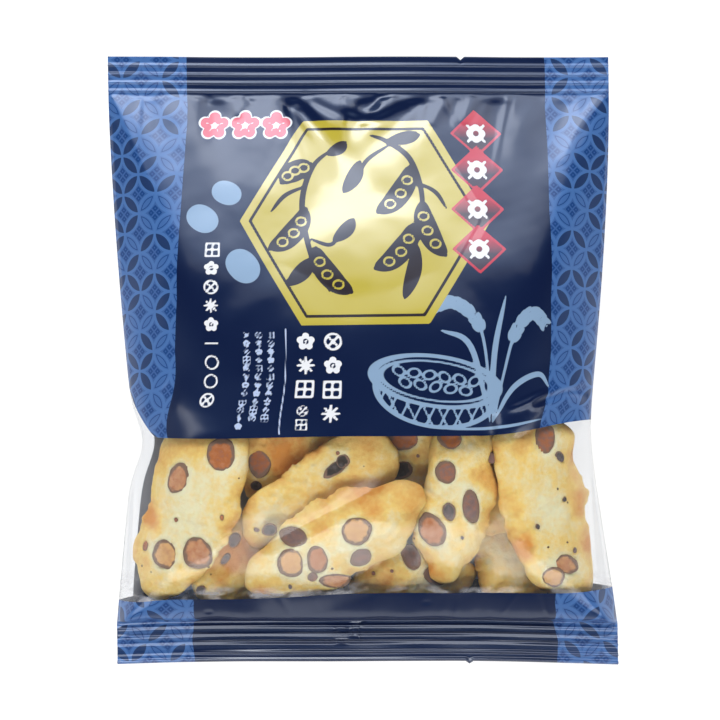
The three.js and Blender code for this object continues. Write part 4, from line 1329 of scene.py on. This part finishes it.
def cracker_material(colours):
    """Baked puffed rice dough: matte and dry, softly lit from inside, cream where it stayed pale and golden
    where it browned, with fine pores and dark specks of bean skin."""
    material, tree, output = new_material("baked rice dough")
    coordinates = add(tree, "TexCoord").outputs["Object"]
    toast = add(tree, "Attribute", attribute_name="toast").outputs["Fac"]
    blotches = {"Vector": coordinates, "Scale": 1 / (BLOTCH * MM), "Detail": 4.0}
    blotches = add(tree, "TexNoise", blotches).outputs["Fac"]
    blotches = {"Value": blotches, "From Min": 0.3, "From Max": 0.7, "To Min": -0.11, "To Max": 0.11}
    blotches = add(tree, "MapRange", blotches).outputs["Result"]
    brown = add(tree, "Math", {0: toast, 1: blotches}, operation="ADD").outputs[0]
    ramp = add(tree, "ValToRGB", {"Fac": brown})
    stops = ramp.color_ramp.elements
    stops[0].position = 0.05
    stops[0].color = colours["cream"]
    stops[1].position = 1.0
    stops[1].color = colours["toast"]
    middle = stops.new(0.45)
    middle.color = colours["golden"]
    specks = {"Vector": coordinates, "Scale": 1 / (SPECK_CELL * MM), "Randomness": 1.0}
    specks = add(tree, "TexVoronoi", specks).outputs
    small = add(tree, "Math", {0: specks["Distance"], 1: SPECK_SIZE}, operation="LESS_THAN").outputs[0]
    rare = add(tree, "SeparateColor", {0: specks["Color"]}).outputs[0]
    rare = add(tree, "Math", {0: rare, 1: SPECK_CHANCE}, operation="LESS_THAN").outputs[0]
    speck = add(tree, "Math", {0: small, 1: rare}, operation="MULTIPLY").outputs[0]
    dough = ramp.outputs[0]
    colour = add(tree, "Mix", {0: speck, 6: dough, 7: colours["speck"]}, data_type="RGBA").outputs[2]
    pores = {"Vector": coordinates, "Scale": 1 / (PORE * MM), "Detail": 5.0, "Roughness": 0.6}
    pores = add(tree, "TexNoise", pores).outputs["Fac"]
    bump = add(tree, "Bump", {"Height": pores, "Strength": 0.6, "Distance": 0.6 * MM}).outputs["Normal"]
    looks = {
        "Base Color": colour,
        "Roughness": 0.62,
        "IOR": 1.45,
        "Normal": bump,
        "Subsurface Weight": 0.3,
        "Subsurface Radius": (1.0, 0.7, 0.35),
        "Subsurface Scale": 2 * MM,
    }
    shader = add(tree, "BsdfPrincipled", looks)
    tree.links.new(shader.outputs[0], output.inputs[0])
    return material


def bean_material(colours):
    """Roasted black soybean, cut through: tan to brown and slightly grainy, in a thin dark skin."""
    material, tree, output = new_material("cut roasted soybean")
    coordinates = add(tree, "TexCoord").outputs["Object"]
    tone = add(tree, "Attribute", attribute_name="tone").outputs["Fac"]
    across = add(tree, "Attribute", attribute_name="across").outputs["Fac"]
    grain = {"Vector": coordinates, "Scale": 1 / (BEAN_GRAIN * MM), "Detail": 4.0}
    grain = add(tree, "TexNoise", grain).outputs["Fac"]
    uneven = {"Value": grain, "From Min": 0.3, "From Max": 0.7, "To Min": -0.1, "To Max": 0.1}
    uneven = add(tree, "MapRange", uneven).outputs["Result"]
    toned = add(tree, "Math", {0: tone, 1: uneven}, operation="ADD").outputs[0]
    ramp = add(tree, "ValToRGB", {"Fac": toned})
    stops = ramp.color_ramp.elements
    stops[0].position = 0.0
    stops[0].color = colours["tan"]
    stops[1].position = 1.0
    stops[1].color = colours["black"]
    for position, name in ((0.2, "brown"), (0.4, "russet"), (0.6, "mauve"), (0.8, "slate")):
        stop = stops.new(position)
        stop.color = colours[name]
    edge = add(tree, "Math", {0: across, 1: uneven}, operation="ADD").outputs[0]
    skin = add(tree, "MapRange", {"Value": edge, "From Min": 0.68, "From Max": 0.8}).outputs["Result"]
    colour = add(tree, "Mix", {0: skin, 6: ramp.outputs[0], 7: colours["skin"]}, data_type="RGBA").outputs[2]
    bump = add(tree, "Bump", {"Height": grain, "Strength": 0.35, "Distance": 0.4 * MM}).outputs["Normal"]
    looks = {"Base Color": colour, "Roughness": 0.5, "IOR": 1.45, "Normal": bump}
    shader = add(tree, "BsdfPrincipled", looks)
    tree.links.new(shader.outputs[0], output.inputs[0])
    return material


def floor_material(colour):
    """Matte white acrylic that is lit from below, as on a light table."""
    material, tree, output = new_material("lit white acrylic")
    looks = {
        "Base Color": colour,
        "Roughness": 0.9,
        "Emission Color": (1, 1, 1, 1),
        "Emission Strength": 0.82,
    }
    shader = add(tree, "BsdfPrincipled", looks)
    tree.links.new(shader.outputs[0], output.inputs[0])
    return material


# ------------------------------------------------------------------ settings


def colour_property(name, description, code):
    """A colour property whose default is a hex code."""
    return FloatVectorProperty(
        name=name, description=description, default=hex_colour(code), subtype="COLOR", size=4, min=0, max=1
    )


class CRACKERPACK_film(bpy.types.PropertyGroup):
    """Fineness and inks of the film."""

    step: FloatProperty(
        name="Step", description="Width of the film's faces", default=0.5 * MM, unit="LENGTH", precision=5
    )
    seal_step: FloatProperty(
        name="Seal step",
        description="Width of the faces in the seals",
        default=0.2 * MM,
        unit="LENGTH",
        precision=5,
    )
    navy: colour_property("Navy", "Ground of the print", "#061236")
    band_ground: colour_property("Band ground", "Ground of the side bands", "#365A92")
    band_line: colour_property("Band line", "Lines of the side bands", "#446BA5")
    band_leaf: colour_property("Band leaf", "Pale leaves of the side bands", "#3E639C")
    band_mark: colour_property("Band mark", "Small marks of the side bands", "#183D78")
    band_dark: colour_property("Band dark leaf", "Dark leaves of the side bands", "#1E335C")
    gold: colour_property("Gold", "Hexagon", "#BDAD34")
    dark: colour_property("Dark", "Sprig and line on the gold", "#28190F")
    pale: colour_property("Pale blue", "Dots and line drawing", "#86A1BE")
    red: colour_property("Red", "Diamonds", "#C2323F")
    ash: colour_property("Ash", "Lower part of the diamonds", "#43333B")
    coral: colour_property("Coral", "Blossoms", "#DB6470")
    white: colour_property("White", "Marks", "#E6E8EC")
    light: colour_property("Light blue", "Small marks", "#B4C4E2")


class CRACKERPACK_food(bpy.types.PropertyGroup):
    """Fineness and colours of the crackers and beans."""

    cells: IntProperty(
        name="Cells", description="Faces across a cracker that shows", default=64, min=8, max=96
    )
    cream: colour_property("Cream", "Pale dough", "#F0E9C1")
    golden: colour_property("Golden", "Lightly browned dough", "#F2D179")
    toast: colour_property("Toast", "Well browned dough", "#DE963C")
    speck: colour_property("Speck", "Specks in the dough", "#6B4A2A")
    tan: colour_property("Tan", "Pale cut bean", "#D8A96F")
    brown: colour_property("Brown", "Brown cut bean", "#C08862")
    russet: colour_property("Russet", "Reddish cut bean", "#B0642A")
    mauve: colour_property("Mauve", "Bean seen by its dull skin", "#84645C")
    slate: colour_property("Slate", "Bean seen by its dark skin", "#5F5658")
    black: colour_property("Black", "Scorched bean", "#241C14")
    skin: colour_property("Skin", "Skin round a cut bean", "#7E6250")


class CRACKERPACK_stage(bpy.types.PropertyGroup):
    """Camera, floor and lights."""

    camera_height: FloatProperty(
        name="Camera height",
        description="Height of the camera above the table",
        default=471.8 * MM,
        unit="LENGTH",
    )
    lens: FloatProperty(name="Lens", description="Focal length of the camera in millimetres", default=75)
    left_radiance: FloatProperty(
        name="Left radiance",
        description="Watts per square metre and steradian of the softbox at the top left",
        default=7.4,
    )
    right_radiance: FloatProperty(
        name="Right radiance", description="The same for the softbox at the top right", default=3.4
    )
    middle_radiance: FloatProperty(
        name="Middle radiance", description="The same for the strip below those two", default=2.6
    )
    edge_radiance: FloatProperty(
        name="Edge radiance", description="The same for the softboxes' dim edge over the pack", default=0.9
    )
    bottom_radiance: FloatProperty(
        name="Bottom radiance", description="The same for the softbox beyond the bottom", default=2.7
    )
    low_radiance: FloatProperty(
        name="Low radiance", description="The same for the strip along that softbox's near edge", default=4.5
    )
    card_radiance: FloatProperty(
        name="Card radiance", description="The same for the white cards near the table", default=0.25
    )
    floor: colour_property("Floor", "Lit acrylic under the pack", "#939392")
    room: colour_property("Room", "Dim light from all round", "#313338")


class CRACKERPACK_settings(bpy.types.PropertyGroup):
    """All settings of the pack."""

    film: PointerProperty(type=CRACKERPACK_film)
    food: PointerProperty(type=CRACKERPACK_food)
    stage: PointerProperty(type=CRACKERPACK_stage)


def colours_of(group):
    """All colours of a settings group by name."""
    values = {name: getattr(group, name) for name in group.__annotations__}
    return {name: value[:] for name, value in values.items() if hasattr(value, "__len__")}


def beyond_wrap(s):
    """Whether each point of the back lies in the clear film that reaches round from the window."""
    return ((s < WRAP_LEFT + 1e-6) | (s > WRAP_RIGHT - 1e-6)).ravel()


def film_sheet(settings, front):
    """A sheet of film as a grid of points, with the number of the row that starts each zone."""
    rows, starts = film_rows(settings.step / MM, settings.seal_step / MM)
    notch = (NOTCH_X + NOTCH_WIDTH / 2 * np.array([-1, 0, 1])) / HALF_WIDTH
    if front:
        columns = film_columns(settings.step / MM, notch)
    else:
        extra = [*notch, WRAP_LEFT, WRAP_RIGHT, *(FIN_EDGES / HALF_WIDTH)]
        columns = film_columns(2.5 * settings.step / MM, extra)
    s, row = np.meshgrid(columns, rows)
    return s, film(s, row, front), starts


# ------------------------------------------------------------------ operators


class CRACKERPACK_OT_front_film(bpy.types.Operator):
    """Printed front film above and below the window"""

    bl_idname = "crackerpack.front_film"
    bl_label = "Printed front film"

    def execute(self, context):
        settings = context.scene.crackerpack.film
        s, points, starts = film_sheet(settings, True)
        places = flat_places(points)
        u, v = places[..., 0], places[..., 1]
        values = {"band": band_places(u, v), **front_inks(u, v)}
        colours = colours_of(settings)
        inks = [(name, colours["red" if name == "rim" else name]) for name in INK_ORDER]
        material = printed_film_material("gravure print under gloss film", colours, inks)
        zones = {"front_film_upper": (starts[3], starts[5]), "front_film_lower": (starts[0], starts[2])}
        for name, (first, last) in zones.items():
            zone = slice(first, last + 1)
            part = {key: array[zone].reshape(-1, *array.shape[2:]) for key, array in values.items()}
            faces = grid_faces(last + 1 - first, s.shape[1])
            piece = make_piece(name, points[zone], faces, material, part)
            if name == "front_film_upper":
                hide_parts("cracker_pack")
        return {"FINISHED"}


class CRACKERPACK_OT_window(bpy.types.Operator):
    """Clear window film, which reaches round both side folds"""

    bl_idname = "crackerpack.window"
    bl_label = "Clear window film"

    def execute(self, context):
        settings = context.scene.crackerpack.film
        material = clear_film_material()
        sheets = []
        for front in (True, False):
            s, points, starts = film_sheet(settings, front)
            zone = slice(starts[2], starts[3] + 1)
            s, points = s[zone], points[zone]
            faces = grid_faces(*s.shape)
            if not front:
                faces = faces[beyond_wrap(s)[faces].all(axis=1)][:, ::-1]
            sheets.append((points.reshape(-1, 3), faces))
        points, faces = join_parts(sheets)
        make_piece("window_film", points, faces, material)
        return {"FINISHED"}


class CRACKERPACK_OT_back_film(bpy.types.Operator):
    """Printed back film with side bands and a bare label panel, and behind the window a pale liner whose
    colour is a painted reflection
    """

    bl_idname = "crackerpack.back_film"
    bl_label = "Back film"

    def execute(self, context):
        settings = context.scene.crackerpack.film
        s, points, starts = film_sheet(settings, False)
        places = flat_places(points)
        u, v = places[..., 0], places[..., 1]
        label = Ink(u, v)
        label.add(label.polygon(LABEL_PANEL))
        values = {"band": band_places(u, v).reshape(-1, 3), "label": label.distance.ravel()}
        inks = [("label", hex_colour("#D9DCE4"))]
        material = printed_film_material("gravure print on the back film", colours_of(settings), inks)
        faces = grid_faces(*s.shape)[:, ::-1]
        row = faces.min(axis=1) // s.shape[1]
        in_window = (row >= starts[2]) & (row < starts[3])
        outside = beyond_wrap(s)[faces].all(axis=1)
        make_piece("back_film", points, faces[~(in_window & outside)], material, values)
        inside = points + np.array([0, 0, LINER_GAP])
        in_view = faces[in_window & ~outside][:, ::-1]
        # The liner's pale colour is a painted reflection and lightens the shade between the crackers, seen
        # through the window
        make_piece("back_liner", inside, in_view, painted_haze_liner_material())
        return {"FINISHED"}


class CRACKERPACK_OT_crackers(bpy.types.Operator):
    """Rice crackers and the beans in them"""

    bl_idname = "crackerpack.crackers"
    bl_label = "Crackers and beans"

    def execute(self, context):
        settings = context.scene.crackerpack.food
        crackers, hidden = settle_crackers()
        shown = []
        beans = []
        for number, (name, (_, bean_list, spots)) in enumerate(WINDOW_CRACKERS.items()):
            cracker = crackers[name]
            shown.append(cracker_surface(cracker, bean_list, spots, settings.cells))
            for place, bean in enumerate(bean_list):
                beans.append(bean_surface(cracker, *bean, seed=1000 + 40 * number + place))
        colours = colours_of(settings)
        dough = cracker_material(colours)
        points, faces, toast = join_parts(shown)
        make_piece("window_crackers", points, faces, dough, {"toast": toast})
        behind = [cracker_surface(cracker, [], [], settings.cells // 3) for cracker in hidden]
        points, faces, toast = join_parts(behind)
        make_piece("inner_crackers", points, faces, dough, {"toast": toast})
        points, faces, tone, across = join_parts(beans)
        bean = bean_material(colours)
        make_piece("black_soybeans", points, faces, bean, {"tone": tone, "across": across})
        return {"FINISHED"}


# The stage, in metres
WALL_REACH = 8.0  # radius of the round wall behind the floor
WALL_HEIGHT = 6.0
WALL_SIDES = 96
FLOOR_HALF = 1.05 * WALL_REACH
CAMERA_AT = (-0.912 * MM, 0.152 * MM)  # the place above which the camera stands


class CRACKERPACK_OT_stage(bpy.types.Operator):
    """Floor, camera and softboxes"""

    bl_idname = "crackerpack.stage"
    bl_label = "Stage"

    def execute(self, context):
        settings = context.scene.crackerpack.stage
        scene = context.scene
        scene.view_settings.view_transform = "Standard"
        side = FLOOR_HALF
        mesh = bpy.data.meshes.new("floor")
        corners = [(-side, -side, 0), (side, -side, 0), (side, side, 0), (-side, side, 0)]
        mesh.from_pydata(corners, [], [(0, 1, 2, 3)])
        mesh.materials.append(floor_material(settings.floor[:]))
        floor = bpy.data.objects.new("floor", mesh)
        floor.location.z = -0.2 * MM
        scene.collection.objects.link(floor)

        # A round wall near the floor's end, which fills the picture above the floor and lights nothing
        angle, height = np.meshgrid(np.linspace(0, 2 * math.pi, WALL_SIDES + 1), (0, WALL_HEIGHT))
        wall = np.stack([WALL_REACH * np.cos(angle), WALL_REACH * np.sin(angle), height], axis=-1)
        mesh = bpy.data.meshes.new("backdrop")
        mesh.from_pydata(wall.reshape(-1, 3).tolist(), [], grid_faces(*angle.shape).tolist())
        mesh.materials.append(floor.data.materials[0])
        backdrop = bpy.data.objects.new("backdrop", mesh)
        backdrop.visible_diffuse = False
        backdrop.visible_glossy = False
        backdrop.visible_shadow = False
        scene.collection.objects.link(backdrop)

        # Softboxes and white cards: middle, turn about X and Y, both sizes and radiance
        quarter = math.pi / 2
        for name, middle, turn, size, radiance in (
            ("softbox_top_left", (-0.5, 1.62, 1), (0, 0), (1.2, 1.36), settings.left_radiance),
            ("softbox_top_right", (0.55, 1.62, 1), (0, 0), (0.9, 1.36), settings.right_radiance),
            ("softbox_middle", (0, 0.84, 1), (0, 0), (1.6, 0.2), settings.middle_radiance),
            ("softbox_edge", (0, 0.57, 1), (0, 0), (1.2, 0.34), settings.edge_radiance),
            ("softbox_bottom", (0, -0.9, 1), (0, 0), (4.4, 0.74), settings.bottom_radiance),
            ("softbox_low", (0, -0.46, 1), (0, 0), (4.4, 0.12), settings.low_radiance),
            ("card_left", (-1.2, 0, 0.2), (0, -quarter), (0.4, 2.4), settings.card_radiance),
            ("card_right", (1.2, 0, 0.2), (0, quarter), (0.4, 2.4), settings.card_radiance),
            ("card_front", (0, -1.2, 0.22), (quarter, 0), (2.4, 0.44), settings.card_radiance),
        ):
            lamp = bpy.data.lights.new(name, "AREA")
            lamp.shape = "RECTANGLE"
            lamp.size, lamp.size_y = size
            lamp.energy = radiance * math.pi * size[0] * size[1]
            box = bpy.data.objects.new(name, lamp)
            box.location = middle
            box.rotation_euler = (*turn, 0)
            scene.collection.objects.link(box)

        world = bpy.data.worlds.new("dim grey room")
        scene.world = world
        world.use_nodes = True
        world.node_tree.nodes["Background"].inputs[0].default_value = settings.room[:]

        camera = bpy.data.cameras.new("camera")
        camera.lens = settings.lens
        camera.clip_start = 0.01
        eye = bpy.data.objects.new("camera", camera)
        eye.location = (*CAMERA_AT, settings.camera_height)
        scene.collection.objects.link(eye)
        scene.camera = eye
        return {"FINISHED"}


class CRACKERPACK_PT_panel(bpy.types.Panel):
    """Buttons and settings of the pack"""

    bl_label = "Cracker pack"
    bl_idname = "CRACKERPACK_PT_panel"
    bl_space_type = "VIEW_3D"
    bl_region_type = "UI"
    bl_category = "Cracker pack"

    def draw(self, context):
        for operator in OPERATORS:
            self.layout.operator(operator.bl_idname)
        settings = context.scene.crackerpack
        for group in (settings.film, settings.food, settings.stage):
            box = self.layout.box()
            for name in group.__annotations__:
                box.prop(group, name)


OPERATORS = (
    CRACKERPACK_OT_stage,
    CRACKERPACK_OT_front_film,
    CRACKERPACK_OT_window,
    CRACKERPACK_OT_back_film,
    CRACKERPACK_OT_crackers,
)
CLASSES = (
    CRACKERPACK_film,
    CRACKERPACK_food,
    CRACKERPACK_stage,
    CRACKERPACK_settings,
    *OPERATORS,
    CRACKERPACK_PT_panel,
)


def register():
    for cls in CLASSES:
        bpy.utils.register_class(cls)
    bpy.types.Scene.crackerpack = PointerProperty(type=CRACKERPACK_settings)


def unregister():
    del bpy.types.Scene.crackerpack
    for cls in reversed(CLASSES):
        bpy.utils.unregister_class(cls)


def main():
    register()
    for operator in OPERATORS:
        group, name = operator.bl_idname.split(".")
        getattr(getattr(bpy.ops, group), name)()


if __name__ == "__main__":
    main()
